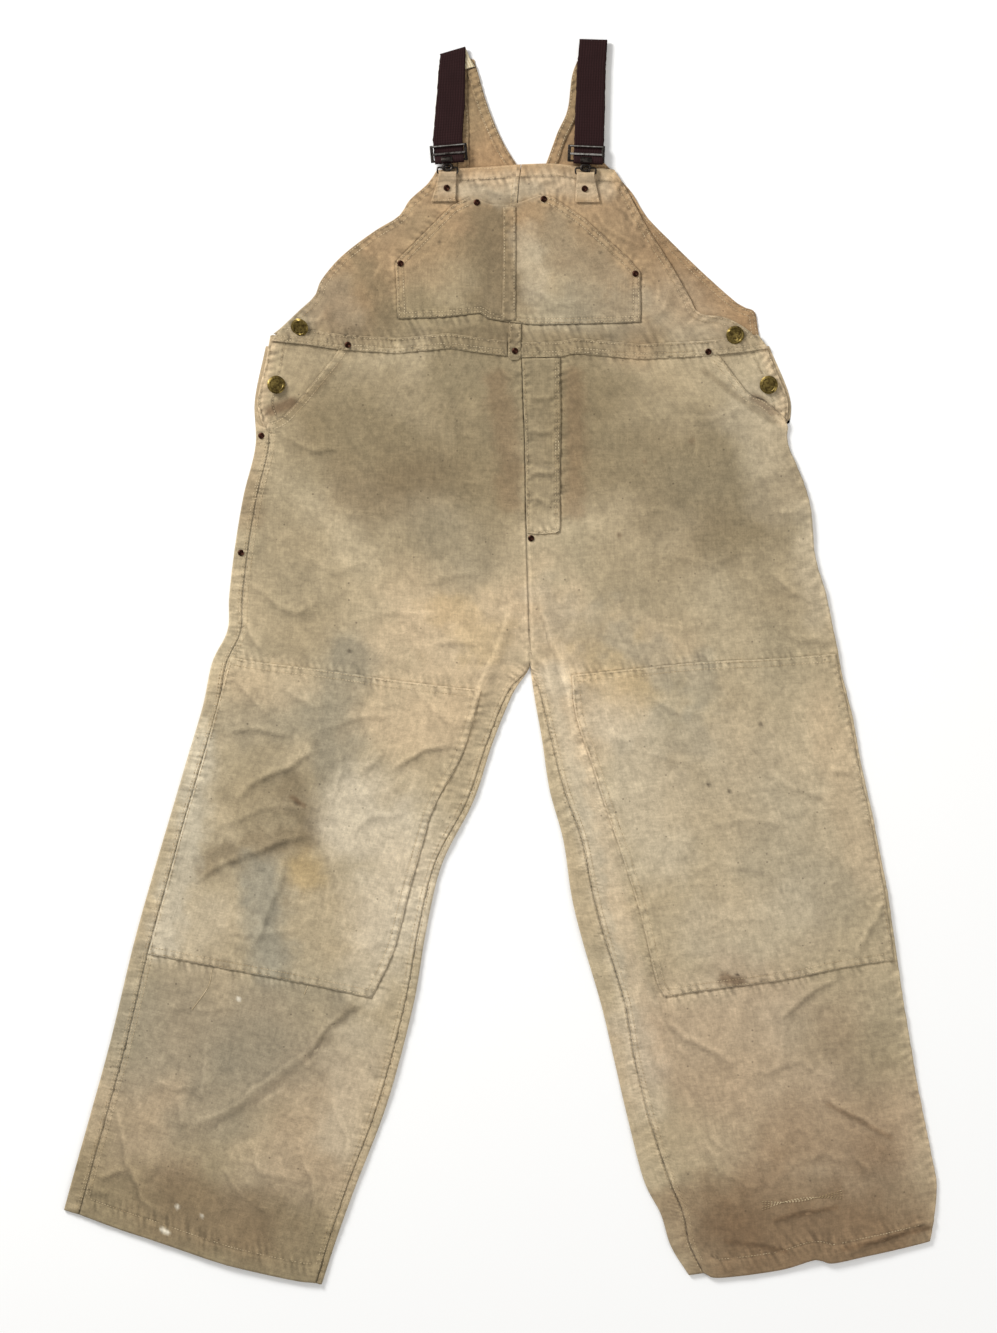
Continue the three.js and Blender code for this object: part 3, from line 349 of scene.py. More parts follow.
CREASES: tuple[Crease, ...] = (
    # left knee
    Crease(((-329, -83), (-284, -79), (-244, -81)), 2.2, 8),
    Crease(((-314, -159), (-294, -142), (-233, -112), (-217, -105)), 3.2, 9),
    Crease(((-128, -124), (-95, -105), (-57, -91)), 3.0, 8),
    Crease(((-209, -67), (-166, -65), (-122, -58)), 1.5, 8),
    Crease(((-173, -132), (-142, -106)), 1.6, 6),
    Crease(((-362, -254), (-314, -230), (-260, -210), (-220, -203)), 3.4, 10),
    Crease(((-298, -342), (-274, -288), (-260, -254), (-254, -230)), 2.0, 9),
    Crease(((-314, -17), (-274, -61)), 1.6, 8),
    Crease(((-340, -196), (-270, -170), (-214, -166)), 1.5, 10),
    Crease(((-206, -168), (-188, -128), (-196, -90)), 1.2, 9),
    Crease(((-350, -300), (-300, -318), (-240, -312)), 1.2, 10),
    # left lower leg
    Crease(((-158, -392), (-173, -403), (-204, -435), (-281, -500), (-327, -527), (-362, -546)), 3.2, 9),
    Crease(((-152, -394), (-176, -414), (-204, -441), (-236, -468)), -1.6, 4),
    Crease(((-209, -451), (-232, -476)), 2.0, 6),
    Crease(((-247, -500), (-290, -524)), 2.0, 6),
    Crease(((-451, -524), (-442, -583), (-419, -636), (-395, -654)), 2.4, 8),
    Crease(((-491, -614), (-460, -629)), 2.0, 6),
    Crease(((-475, -608), (-438, -598)), 1.8, 6),
    Crease(((-377, -512), (-370, -549)), 1.8, 6),
    Crease(((-346, -463), (-358, -512)), 1.8, 7),
    Crease(((-238, -560), (-216, -612), (-222, -676)), 1.8, 9),
    Crease(((-330, -580), (-300, -630), (-268, -652)), 1.4, 9),
    # right lower leg
    Crease(((198, -420), (218, -441), (257, -457), (279, -470)), 2.8, 8),
    Crease(((330, -415), (360, -389), (399, -372)), 2.6, 8),
    Crease(((386, -516), (428, -538), (461, -556)), 2.2, 8),
    Crease(((320, -655), (358, -645), (395, -641)), 2.4, 8),
    Crease(((266, -681), (299, -684), (336, -691)), 2.4, 7),
    Crease(((402, -694), (448, -676), (507, -663)), 4.2, 8),
    Crease(((322, -657), (358, -649), (398, -642)), -2.0, 3.5),
    Crease(((264, -682), (299, -686), (338, -694)), -2.0, 3.5),
    Crease(((402, -691), (448, -680), (504, -666)), -2.2, 3.5),
    Crease(((417, -582), (438, -610)), 1.6, 7),
    Crease(((232, -540), (262, -600), (300, -622)), 1.4, 10),
    # right knee
    Crease(((419, -343), (447, -286)), 2.0, 8),
    Crease(((322, -133), (389, -164)), 1.6, 9),
    Crease(((389, -124), (419, -127)), 1.8, 6),
    Crease(((200, -250), (262, -236), (330, -252)), 1.0, 12),
    Crease(((130, -80), (176, -108), (236, -112)), 1.0, 11),
    # hips and thighs
    Crease(((-272, 281), (-244, 264), (-214, 253), (-178, 247)), 1.7, 6),
    Crease(((-297, 98), (-258, 70), (-239, 60), (-211, 77)), 2.4, 8),
    Crease(((-309, 70), (-287, 33), (-271, 9)), 2.4, 8),
    Crease(((204, 290), (239, 291), (270, 299), (296, 309)), -1.6, 4),
    Crease(((208, 285), (239, 286), (270, 293), (296, 302)), 1.2, 6),
    Crease(((319, 106), (345, 88), (366, 74)), 2.0, 7),
    Crease(((340, 33), (394, 21)), 1.6, 6),
    Crease(((319, 176), (362, 181)), 1.2, 7),
    Crease(((-240, 190), (-180, 176), (-120, 186)), 1.0, 12),
    Crease(((-60, 330), (-72, 280), (-60, 240)), 0.9, 10),
    Crease(((110, 340), (118, 296), (104, 250)), 0.9, 10),
    Crease(((-4, 352), (6, 340), (16, 334)), 1.6, 5),
    Crease(((150, 60), (210, 40), (290, 52)), 1.0, 12),
    Crease(((-180, 50), (-130, 66), (-80, 60)), 1.0, 10),
    # crotch and inner thighs
    Crease(((12, 70), (-2, 30), (-20, -20), (-44, -84)), 4.2, 9),
    Crease(((24, 76), (6, 68), (-16, 62)), 1.8, 6),
    Crease(((-90, 100), (-55, 105), (-22, 107)), 1.4, 8),
    Crease(((-80, 21), (-45, 27), (-21, 26)), 1.8, 6),
    Crease(((42, 97), (49, 70), (54, 42), (70, 13), (81, -39), (90, -97)), 4.0, 10),
    Crease(((36, 20), (58, -6), (66, -44)), 2.0, 7),
    Crease(((-30, -60), (-52, -120), (-86, -180)), 1.6, 10),
    # fly, one crease over each button hole
    Crease(((32, 315), (66, 315)), 1.9, 4),
    Crease(((30, 294), (68, 294)), -2.4, 3.4),
    Crease(((34, 275), (64, 272)), 2.2, 5),
    Crease(((30, 232), (68, 232)), -2.6, 3.4),
    Crease(((34, 221), (68, 224)), 2.5, 4),
    Crease(((36, 196), (62, 190)), 1.9, 5),
    # bib
    Crease(((-8, 505), (-6, 471), (-15, 425)), -1.6, 12),
    Crease(((108, 536), (130, 511), (166, 493)), 1.8, 7),
    Crease(((228, 408), (215, 398)), 1.8, 5),
    Crease(((232, 400), (266, 408)), 1.8, 5),
    Crease(((-170, 470), (-142, 440), (-134, 404)), 1.1, 9),
    Crease(((-244, 398), (-214, 402), (-196, 414)), 1.6, 6),
    Crease(((150, 405), (196, 418), (206, 450)), 1.2, 8),
    Crease(((120, 560), (138, 545), (158, 512)), 2.2, 5),
    Crease(((40, 440), (60, 426), (100, 430)), 0.8, 9),
    Crease(((-36, 572), (-22, 566), (-8, 570)), 1.4, 4),
    Crease(((-20, 560), (4, 556)), 1.2, 4),
    Crease(((34, 562), (52, 572), (70, 570)), 1.4, 4),
    Crease(((60, 556), (78, 566), (92, 562)), 1.2, 4),
    Crease(((128, 574), (140, 566), (138, 552)), 1.8, 4),
    Crease(((120, 546), (134, 552), (150, 546)), 1.4, 4),
    Crease(((-150, 500), (-140, 470), (-160, 440)), 1.6, 9),
    Crease(((-100, 400), (-60, 396), (-20, 404)), 1.0, 6),
    Crease(((176, 470), (190, 450), (186, 420)), 1.6, 7),
    Crease(((206, 430), (186, 410), (150, 398)), 1.3, 6),
    # small ones on the left thigh and knee
    Crease(((-100, -30), (-70, -60), (-40, -74)), 1.4, 8),
    Crease(((-70, -100), (-60, -140), (-80, -170)), 1.2, 8),
    Crease(((-250, -30), (-220, -50), (-200, -40)), 1.3, 7),
    Crease(((-180, -200), (-150, -180), (-110, -176)), 1.2, 8),
    Crease(((-206, -214), (-190, -260), (-210, -300)), 1.2, 8),
    # small ones on the right knee and lower leg
    Crease(((240, -190), (290, -178), (340, -190)), 1.0, 9),
    Crease(((160, -30), (210, -60), (280, -60)), 0.9, 10),
    Crease(((220, -330), (260, -300), (320, -300)), 0.9, 9),
    Crease(((300, -480), (350, -470), (400, -490)), 1.3, 8),
    Crease(((240, -500), (250, -560), (290, -590)), 1.2, 8),
    Crease(((150, -500), (160, -560)), 1.4, 7),
    Crease(((330, -600), (380, -580), (420, -590)), 1.2, 7),
    # small ones on the left lower leg
    Crease(((-420, -480), (-380, -500), (-340, -490)), 1.2, 8),
    Crease(((-300, -560), (-280, -600), (-230, -610)), 1.3, 8),
    Crease(((-200, -500), (-180, -560), (-190, -600)), 1.2, 8),
    Crease(((-400, -400), (-340, -410), (-300, -400)), 1.0, 9),
    # small ones on the thighs and the hip
    Crease(((-240, 130), (-200, 110), (-150, 120)), 1.0, 9),
    Crease(((180, 130), (240, 116), (300, 130)), 1.0, 9),
    Crease(((-160, 330), (-150, 290), (-170, 250)), 0.9, 10),
)


@dataclass
class Lie:
    """The one surface that the front cloth lies to."""

    base: float = 3.9
    lowest: float = 2.9
    broad: Noise = field(default_factory=lambda: Noise(11))
    fine: Noise = field(default_factory=lambda: Noise(12))
    drift: Noise = field(default_factory=lambda: Noise(13))

    def drifted(self, x: Array, y: Array) -> tuple[Array, Array]:
        """Places moved a little to and fro, so that no crease is straight."""
        u = x + 4.5 * self.drift.at(x, y, 34) + 1.6 * self.drift.at(x, y, 13)
        v = y + 4.5 * self.drift.at(y, x, 34) + 1.6 * self.drift.at(y, x, 13)
        return u, v

    def height(self, x: Array, y: Array) -> Array:
        """The height of the front cloth's upper face at places, in millimetres."""
        x, y = np.asarray(x, float), np.asarray(y, float)
        shape = x.shape
        x, y = x.ravel(), y.ravel()
        z = self.base + 1.5 * self.broad.at(x, y, 170) + 0.95 * self.broad.at(y, x, 74)
        z += 0.42 * self.fine.at(x, y, 31) + 0.2 * self.fine.at(y, x, 16)
        crumple = 1 - np.abs(self.fine.at(x + 0.4 * y, y - 0.3 * x, 46))
        z += 0.9 * (crumple**3 - 0.35)
        u, v = self.drifted(x, y)
        for crease in CREASES:
            crease.add_to(z, u, v)
        soft = self.lowest + np.logaddexp(0, 2.5 * (z - self.lowest)) / 2.5
        return soft.reshape(shape)

    def wear_and_shade(self, x: Array, y: Array) -> Array:
        """The rubbing and painted light of the creases at places, from -1 to 1: paler crests with painted
        highlight, painted shade in their dips.
        """
        wear_and_shade = np.zeros(x.size)
        u, v = self.drifted(x.ravel(), y.ravel())
        for crease in CREASES:
            crease.colour(wear_and_shade, u, v)
        return np.clip(wear_and_shade, -1.3, 1)


LIE = Lie()
WRINKLE = Noise(21)


@dataclass(frozen=True)
class Seam:
    """The puckers and the bulk along a line of sewing.

    Washing shrinks the thread, so the cloth stands in short ridges across the seam, worn pale on top, with
    painted shade put in the dips between them.
    """

    line: Array
    depth: float = 0.55
    reach: float = 9.0
    pitch: float = 8.5
    skew: float = 0.35
    bulk: float = 0.0
    bulk_width: float = 5.0
    groove: float = 0.0

    def effect(self, x: Array, y: Array) -> tuple[Array, Array, Array]:
        """What the seam does at places.

        Args:
            x, y: the places.

        Returns:
            The height it adds; its rubbing and painted light, from -1 in the dips (painted shade) to 1 on the
            ridges (rubbed pale); and its line of painted shade and dirt in the groove, from 0 to 1.
        """
        height, wear_and_shade, seam_shade_and_dirt = (np.zeros(x.shape) for _ in range(3))
        mask = close_to(x, y, self.line, 3.2 * self.reach)
        if not mask.any():
            return height, wear_and_shade, seam_shade_and_dirt
        away, along, side = nearest(x[mask], y[mask], self.line)
        fall = np.exp(-((away / self.reach) ** 1.6))
        wander = WRINKLE.at(along, self.pitch * side, 3.1 * self.pitch)
        strength = 0.72 + 0.38 * WRINKLE.at(along + 31, 9.0 * side, 5 * self.pitch)
        phase = 2 * math.pi * (along + self.skew * away * side) / self.pitch + 2.6 * wander
        wave = 0.55 * np.sin(phase) + 1.1 * WRINKLE.at(
            along + self.skew * away * side, 29 * side, 0.55 * self.pitch,
        )
        height[mask] = self.depth * fall * strength * wave
        height[mask] += self.bulk * np.exp(-((away / self.bulk_width) ** 4))
        line = np.exp(-((away / 1.2) ** 2))
        height[mask] -= self.groove * line
        worn_edge = 0.8 * min(1.0, self.groove / 0.25) * np.exp(-(((away - 3.0) / 1.5) ** 2))
        # puckers' ridges paler (rubbing) and their dips darker (painted shade); a pale rubbed band 3 mm off
        # the line
        wear_and_shade[mask] = (2.0 if self.groove else 1.2) * fall * strength * wave + worn_edge
        # the groove painted darker: painted shade, with some dirt
        seam_shade_and_dirt[mask] = line * min(1.0, self.groove / 0.3)
        return height, wear_and_shade, seam_shade_and_dirt


@dataclass
class Face:
    """The upper face of one layer of cloth: how far it lies above the lie, and the seams in it."""

    layer: float
    seams: tuple[Seam, ...] = ()
    floor: float | None = None
    ripple: float = 0.0

    def detail(self, x: Array, y: Array) -> tuple[Array, Array, Array]:
        """The height, the rubbing and painted light, and the lines of painted shade and dirt that the seams
        give at places.
        """
        total = [np.zeros(x.shape) for _ in range(3)]
        for seam in self.seams:
            for k, value in enumerate(seam.effect(x, y)):
                total[k] += value
        return total[0], total[1], total[2]

    def ground(self, x: Array, y: Array) -> Array:
        """The height of the layer without its seams."""
        if self.floor is None:
            return LIE.height(x, y) + self.layer
        rise = 0.5 + 0.35 * WRINKLE.at(x, y, 60) + 0.2 * WRINKLE.at(y, x, 22)
        return self.floor + self.ripple * rise

    def height(self, x: Array, y: Array) -> Array:
        """The height of the upper face at places, in millimetres."""
        x, y = np.asarray(x, float), np.asarray(y, float)
        return self.ground(x, y) + self.detail(x, y)[0]


# ---------------------------------------------------------------- colour


def linear(hex_colour: str) -> Array:
    """Turn an sRGB hex colour into linear red, green and blue."""
    value = np.array([int(hex_colour[i : i + 2], 16) / 255 for i in (1, 3, 5)])
    return np.where(value <= 0.04045, value / 12.92, ((value + 0.055) / 1.055) ** 2.4)


class Tone(Enum):
    """The colours that years of work have left in the cloth; SMOKE and RUST also colour a few lines of
    painted shade.
    """

    FADED = "#b3a283"
    OLIVE = "#857659"
    SMOKE = "#79694f"
    RUST = "#7a6146"
    DUST = "#928872"
    CREAM = "#cebfa4"
    PALE = "#c8b18f"
    OCHRE = "#b8985a"
    TAN = "#a38562"
    LINING = "#917a5a"
    ASH = "#c8c0ac"
    ROSE = "#ae967b"
    SLATE = "#80837a"
    SOOT = "#352b22"
    PAINT = "#e8dfca"
    BARK = "#6c543c"


@dataclass(frozen=True)
class StainAndShade:
    """A patch of colour along a line, or round a point, for stains and for a few lines of painted shade: its
    half width, its colour and how strong it is.
    """

    points: Points
    radius: float
    tone: Tone
    strength: float
    ragged: float = 0.45

    def mask(self, x: Array, y: Array, noise: Noise) -> Array:
        """How much of the patch is at places, from 0 to its strength."""
        line = array(self.points)
        result = np.zeros(x.shape)
        near = close_to(x, y, line, 1.6 * self.radius)
        if not near.any():
            return result
        px, py = x[near], y[near]
        if len(line) > 1:
            away = nearest(px, py, line)[0]
        else:
            away = np.hypot(px - line[0, 0], py - line[0, 1])
        edge = away / self.radius + self.ragged * noise.layered(px, py, 0.55 * self.radius + 3, 4)
        result[near] = self.strength * smoothstep(1.15, 0.25, edge)
        return result


STAINS_AND_SHADE: tuple[StainAndShade, ...] = (
    # laps
    StainAndShade(((-220, 300), (-120, 290), (60, 300), (180, 300)), 120, Tone.OLIVE, 0.42),
    StainAndShade(((-190, 262), (-110, 240), (-30, 226)), 100, Tone.OLIVE, 0.85),
    StainAndShade(((-150, 196), (-90, 214)), 62, Tone.SMOKE, 0.6),
    StainAndShade(((-60, 340), (10, 330), (80, 330)), 70, Tone.OLIVE, 0.75),
    StainAndShade(((110, 270), (210, 220), (296, 190)), 92, Tone.OLIVE, 0.75),
    StainAndShade(((180, 170), (240, 160)), 66, Tone.SMOKE, 0.3),
    StainAndShade(((-70, 150), (-40, 118)), 60, Tone.DUST, 0.55),
    StainAndShade(((80, -20), (110, -60)), 40, Tone.CREAM, 0.5),
    StainAndShade(((-4, 330), (10, 250), (12, 190)), 22, Tone.RUST, 0.45),
    StainAndShade(((86, 340), (90, 250), (84, 180)), 17, Tone.RUST, 0.45),
    StainAndShade(((-270, 170), (-230, 60)), 70, Tone.OLIVE, 0.42),
    StainAndShade(((-110, 130), (-30, 150)), 60, Tone.OLIVE, 0.4),
    StainAndShade(((110, 120), (180, 90)), 60, Tone.OLIVE, 0.3),
    StainAndShade(((290, 130), (340, 30)), 56, Tone.OLIVE, 0.3),
    # worn thighs and crotch
    StainAndShade(((-90, 40), (-40, 10), (10, 40)), 84, Tone.PALE, 0.85),
    StainAndShade(((60, 60), (90, -30), (110, -80)), 64, Tone.PALE, 0.75),
    StainAndShade(((130, 30), (190, 10)), 50, Tone.PALE, 0.35),
    StainAndShade(((-50, 60), (-20, 30)), 46, Tone.OCHRE, 0.2, 0.9),
    StainAndShade(((110, 20), (160, -30)), 46, Tone.OCHRE, 0.2, 0.9),
    StainAndShade(((60, 60), (230, -20)), 40, Tone.SLATE, 0.22, 1.0),
    StainAndShade(((100, -60), (230, -90)), 34, Tone.SLATE, 0.2, 1.0),
    StainAndShade(((300, 300), (330, 200)), 50, Tone.CREAM, 0.25),
    StainAndShade(((364, 170), (378, 60)), 30, Tone.CREAM, 0.3),
    StainAndShade(((-300, 250), (-296, 180)), 26, Tone.RUST, 0.3),
    # left knee
    StainAndShade(((-180, 4), (-190, -70), (-196, -130)), 40, Tone.DUST, 0.8),
    StainAndShade(((-330, -60), (-250, -66)), 42, Tone.DUST, 0.5),
    StainAndShade(((-290, -150), (-240, -180), (-200, -190)), 60, Tone.OLIVE, 0.5),
    StainAndShade(((-350, -238), (-290, -214), (-205, -198)), 20, Tone.SMOKE, 0.6, 0.6),
    StainAndShade(((-250, -150), (-224, -190)), 24, Tone.SMOKE, 0.5, 0.6),
    StainAndShade(((-280, -250), (-272, -350)), 36, Tone.SLATE, 0.5),
    StainAndShade(((-232, -245),), 34, Tone.OCHRE, 0.36),
    StainAndShade(((-170, -180), (-110, -216), (-130, -290)), 74, Tone.CREAM, 0.9),
    StainAndShade(((-140, -70), (-70, -70)), 50, Tone.PALE, 0.7),
    StainAndShade(((-300, -20), (-250, -30)), 36, Tone.PALE, 0.35),
    StainAndShade(((-120, -320), (-160, -370)), 44, Tone.CREAM, 0.5),
    StainAndShade(((-340, -300), (-390, -330)), 44, Tone.CREAM, 0.35),
    StainAndShade(((-352, -90), (-372, -230), (-400, -330)), 26, Tone.ASH, 0.42),
    # left lower leg
    # painted shade: a darker line along the long crease below the left knee, on its shaded side
    StainAndShade(((-176, -406), (-206, -443), (-283, -509), (-329, -536), (-366, -556)), 9, Tone.SMOKE, 0.65, 0.3),
    StainAndShade(((-430, -560), (-330, -440), (-210, -500), (-260, -640)), 90, Tone.ROSE, 0.45),
    StainAndShade(((-420, -430), (-330, -440), (-240, -420)), 90, Tone.DUST, 0.6),
    StainAndShade(((-300, -460), (-350, -540)), 62, Tone.DUST, 0.55),
    StainAndShade(((-470, -640), (-360, -660), (-240, -700)), 105, Tone.OLIVE, 0.8),
    StainAndShade(((-380, -640), (-300, -660)), 60, Tone.RUST, 0.4),
    StainAndShade(((-170, -450), (-190, -560)), 40, Tone.CREAM, 0.4),
    # right knee
    StainAndShade(((244, -110), (330, -160)), 60, Tone.DUST, 0.25),
    StainAndShade(((280, -120), (390, -130), (400, -230), (300, -220)), 84, Tone.CREAM, 0.2),
    StainAndShade(((62, -14), (96, -140), (140, -330), (182, -480)), 24, Tone.CREAM, 0.6, 0.3),
    StainAndShade(((84, -50), (120, -180), (156, -360), (184, -460)), 15, Tone.PALE, 0.5, 0.6),
    StainAndShade(((140, -80), (190, -220)), 56, Tone.CREAM, 0.4),
    StainAndShade(((250, -320), (350, -300)), 60, Tone.CREAM, 0.35),
    StainAndShade(((380, -60), (430, -240)), 34, Tone.PALE, 0.4),
    StainAndShade(((320, -240), (400, -280)), 50, Tone.DUST, 0.3),
    # right lower leg
    StainAndShade(((240, -470), (320, -470), (420, -540)), 140, Tone.ROSE, 0.6, 0.6),
    StainAndShade(((300, -668), (440, -674)), 116, Tone.RUST, 0.62, 0.5),
    StainAndShade(((300, -690), (440, -690)), 76, Tone.RUST, 0.62, 0.6),
    StainAndShade(((224, -650), (260, -700)), 60, Tone.RUST, 0.55, 0.6),
    StainAndShade(((350, -556), (430, -540)), 52, Tone.RUST, 0.3),
    StainAndShade(((380, -440), (440, -470)), 60, Tone.OLIVE, 0.35),
    StainAndShade(((230, -420), (330, -420)), 60, Tone.CREAM, 0.12),
    StainAndShade(((150, -420), (176, -520)), 30, Tone.CREAM, 0.4),
    # worn outer edges of the hips, and the inner edge of the back's right arm
    StainAndShade(((-274, 380), (-286, 310), (-282, 285)), 13, Tone.PALE, 0.7, 0.3),
    StainAndShade(((314, 376), (336, 312), (334, 288)), 13, Tone.PALE, 0.7, 0.3),
    StainAndShade(((70, 704), (56, 640)), 34, Tone.LINING, 0.9, 0.2),
    # painted shade: darker lines in the folds above the right hem
    StainAndShade(((324, -657), (358, -649), (396, -642)), 4, Tone.RUST, 0.75, 0.3),
    StainAndShade(((266, -682), (299, -686), (336, -694)), 4, Tone.RUST, 0.75, 0.3),
    StainAndShade(((404, -691), (448, -680), (504, -666)), 4, Tone.RUST, 0.75, 0.3),
    StainAndShade(((386, -520), (428, -542), (461, -560)), 4, Tone.RUST, 0.4, 0.3),
    # mouths of the hip pockets
    StainAndShade(((-272, 297), (-246, 307)), 10, Tone.BARK, 0.75, 0.3),
    StainAndShade(((322, 296), (300, 312)), 8, Tone.BARK, 0.6, 0.3),
    StainAndShade(((-190, 350), (-230, 312), (-262, 284)), 6, Tone.SMOKE, 0.45, 0.3),
    StainAndShade(((240, 345), (284, 310), (322, 284)), 5, Tone.SMOKE, 0.45, 0.3),
    # bib
    StainAndShade(((-170, 460), (-60, 540), (60, 550), (190, 450)), 100, Tone.TAN, 0.85),
    StainAndShade(((-160, 470), (0, 470), (170, 450)), 110, Tone.OLIVE, 0.15),
    StainAndShade(((-150, 440), (-80, 430), (-30, 440)), 44, Tone.OLIVE, 0.4),
    StainAndShade(((60, 500), (110, 460), (90, 430)), 40, Tone.DUST, 0.4),
    StainAndShade(((-14, 516), (2, 460), (2, 404)), 46, Tone.SMOKE, 0.9, 0.5),
    StainAndShade(((-150, 400), (-90, 412), (-30, 396)), 34, Tone.OLIVE, 0.7),
    StainAndShade(((-236, 410), (-200, 440), (-180, 400)), 30, Tone.DUST, 0.6),
    StainAndShade(((-180, 500), (-150, 450), (-132, 404)), 15, Tone.SMOKE, 0.6, 0.5),
    StainAndShade(((60, 420), (130, 404), (160, 420)), 40, Tone.DUST, 0.5),
    StainAndShade(((-40, 556), (0, 548), (40, 560)), 16, Tone.DUST, 0.5),
    StainAndShade(((-96, 505), (-50, 470)), 46, Tone.OLIVE, 0.3),
    StainAndShade(((60, 520), (110, 490)), 46, Tone.OLIVE, 0.2),
    StainAndShade(((30, 500), (40, 440)), 22, Tone.CREAM, 0.3),
    # painted shade of the waistband's folds, with some dirt: a darker band along the waistband
    StainAndShade(((-250, 384), (-60, 385), (60, 378), (290, 380)), 20, Tone.SMOKE, 0.42),
    StainAndShade(((-200, 430), (-176, 400)), 40, Tone.RUST, 0.3),
    StainAndShade(((180, 500), (230, 440)), 34, Tone.RUST, 0.3),
    StainAndShade(((196, 430), (240, 400)), 44, Tone.CREAM, 0.2),
    StainAndShade(((-60, 560), (60, 566), (120, 560)), 22, Tone.CREAM, 0.35),
)

SPOTS: tuple[StainAndShade, ...] = (
    StainAndShade(((262, -372), (284, -376)), 9, Tone.BARK, 0.7),
    StainAndShade(((279, -367),), 2.8, Tone.SOOT, 0.95, 0.2),
    StainAndShade(((245, -143),), 3.2, Tone.SOOT, 0.8, 0.2),
    StainAndShade(((270, -151),), 3.0, Tone.SOOT, 0.7, 0.2),
    StainAndShade(((307, -72),), 4.0, Tone.SOOT, 0.6, 0.2),
    StainAndShade(((-178, 14),), 3.4, Tone.SOOT, 0.7, 0.2),
    StainAndShade(((-239, -164),), 5.0, Tone.SOOT, 0.7, 0.3),
    StainAndShade(((-246, -158), (-232, -168)), 4.0, Tone.BARK, 0.6, 0.3),
    StainAndShade(((-309, -396),), 3.6, Tone.PAINT, 0.95, 0.2),
    StainAndShade(((-381, -641),), 3.4, Tone.PAINT, 0.9, 0.2),
    StainAndShade(((-399, -668), (-392, -671)), 3.4, Tone.PAINT, 0.9, 0.2),
    StainAndShade(((-352, -652),), 2.6, Tone.PAINT, 0.8, 0.2),
    StainAndShade(((-118, 520),), 3.0, Tone.SOOT, 0.55, 0.3),
    StainAndShade(((-92, 508),), 2.6, Tone.SOOT, 0.5, 0.3),
    StainAndShade(((-72, 496),), 3.0, Tone.SOOT, 0.5, 0.3),
    StainAndShade(((-104, 492),), 2.4, Tone.SOOT, 0.45, 0.3),
    StainAndShade(((60, 536),), 3.2, Tone.SOOT, 0.55, 0.3),
    StainAndShade(((82, 520),), 2.8, Tone.SOOT, 0.5, 0.3),
    StainAndShade(((104, 506),), 3.4, Tone.SOOT, 0.5, 0.3),
    StainAndShade(((74, 498),), 2.6, Tone.SOOT, 0.5, 0.3),
    StainAndShade(((118, 484),), 3.0, Tone.SOOT, 0.45, 0.3),
    StainAndShade(((140, 150),), 4.4, Tone.BARK, 0.5, 0.3),
    StainAndShade(((226, 262),), 5.0, Tone.BARK, 0.4, 0.4),
    StainAndShade(((170, 238),), 4.0, Tone.BARK, 0.4, 0.4),
)


@dataclass
class DyeAndShade:
    """Paints a sheet's points: the faded ground, the stains, the rubbing on ridges and edges, and painted
    highlight and shade on crumples, creases and seams.
    """

    patchy: Noise = field(default_factory=lambda: Noise(31))
    ragged: Noise = field(default_factory=lambda: Noise(32))

    def paint(self, x: Array, y: Array, tone: Tone, wear_and_shade: Array, seam_shade_and_dirt: Array) -> Array:
        """Colour places in the cloth.

        Args:
            x, y: the places.
            tone: the cloth's own colour.
            wear_and_shade: from -1, painted shade in dips, to 1 on rubbed ridges with painted highlight.
            seam_shade_and_dirt: painted shade and dirt in the seams' grooves, from 0 to 1.

        Returns:
            Linear red, green, blue and one more value, 1, for each place.
        """
        colour = np.broadcast_to(linear(tone.value), (*x.shape, 3)).copy()
        # the stains, and a few lines of painted shade along folds and the waistband
        for stain_and_shade in STAINS_AND_SHADE + SPOTS:
            share = stain_and_shade.mask(x, y, self.ragged)[..., None]
            colour = colour * (1 - share) + linear(stain_and_shade.tone.value) * share
        # the creases add rubbing, painted highlight and painted shade
        wear_and_shade = wear_and_shade + LIE.wear_and_shade(x, y).reshape(x.shape)
        fade = 1 + 0.07 * self.patchy.layered(x, y, 120, 3) + 0.09 * self.patchy.layered(y, x, 22, 4)
        fade *= 1 + 0.1 * self.patchy.at(x, y, 6.3) + 0.11 * self.patchy.at(y, x, 3.3)
        # ridges paler and dips darker: rubbing with painted highlight, and painted shade
        fade *= 1 + 0.19 * np.clip(wear_and_shade, 0, 1.3) - 0.2 * np.clip(-wear_and_shade, 0, 1.3)
        # seam grooves darker: painted shade, with some dirt
        fade *= 1 - 0.35 * np.clip(seam_shade_and_dirt, 0, 1)
        warm = 0.022 * self.patchy.layered(x + 90, y, 64, 2)
        colour = colour * fade[..., None] * np.stack([1 + warm, np.ones(x.shape), 1 - warm], axis=-1)
        return np.concatenate([np.clip(colour, 0.004, 1), np.ones((*x.shape, 1))], axis=-1)


DYE_AND_SHADE = DyeAndShade()

# ---------------------------------------------------------------- finishes


def add_node(
    tree: bpy.types.NodeTree, kind: str, inputs: dict | None = None, **settings: object,
) -> bpy.types.Node:
    """Add a node with its settings, its values and its links.

    Args:
        tree: the material's node tree.
        kind: the node's type.
        inputs: a value or an output socket for each input, by name or number.
        settings: the node's own properties.

    Returns:
        The new node.
    """
    new = tree.nodes.new(kind)
    for name, value in settings.items():
        setattr(new, name, value)
    for name, value in (inputs or {}).items():
        if isinstance(value, bpy.types.NodeSocket):
            tree.links.new(value, new.inputs[name])
        else:
            new.inputs[name].default_value = value
    return new


def rgba(hex_colour: str) -> tuple[float, float, float, float]:
    """A hex colour as a shader's linear colour."""
    return (*linear(hex_colour), 1.0)


def new_material(name: str) -> tuple[bpy.types.Material, bpy.types.NodeTree, bpy.types.Node]:
    """An empty material, its tree, and its surface shader."""
    material = bpy.data.materials.new(name)
    material.use_nodes = True
    tree = material.node_tree
    return material, tree, tree.nodes["Principled BSDF"]


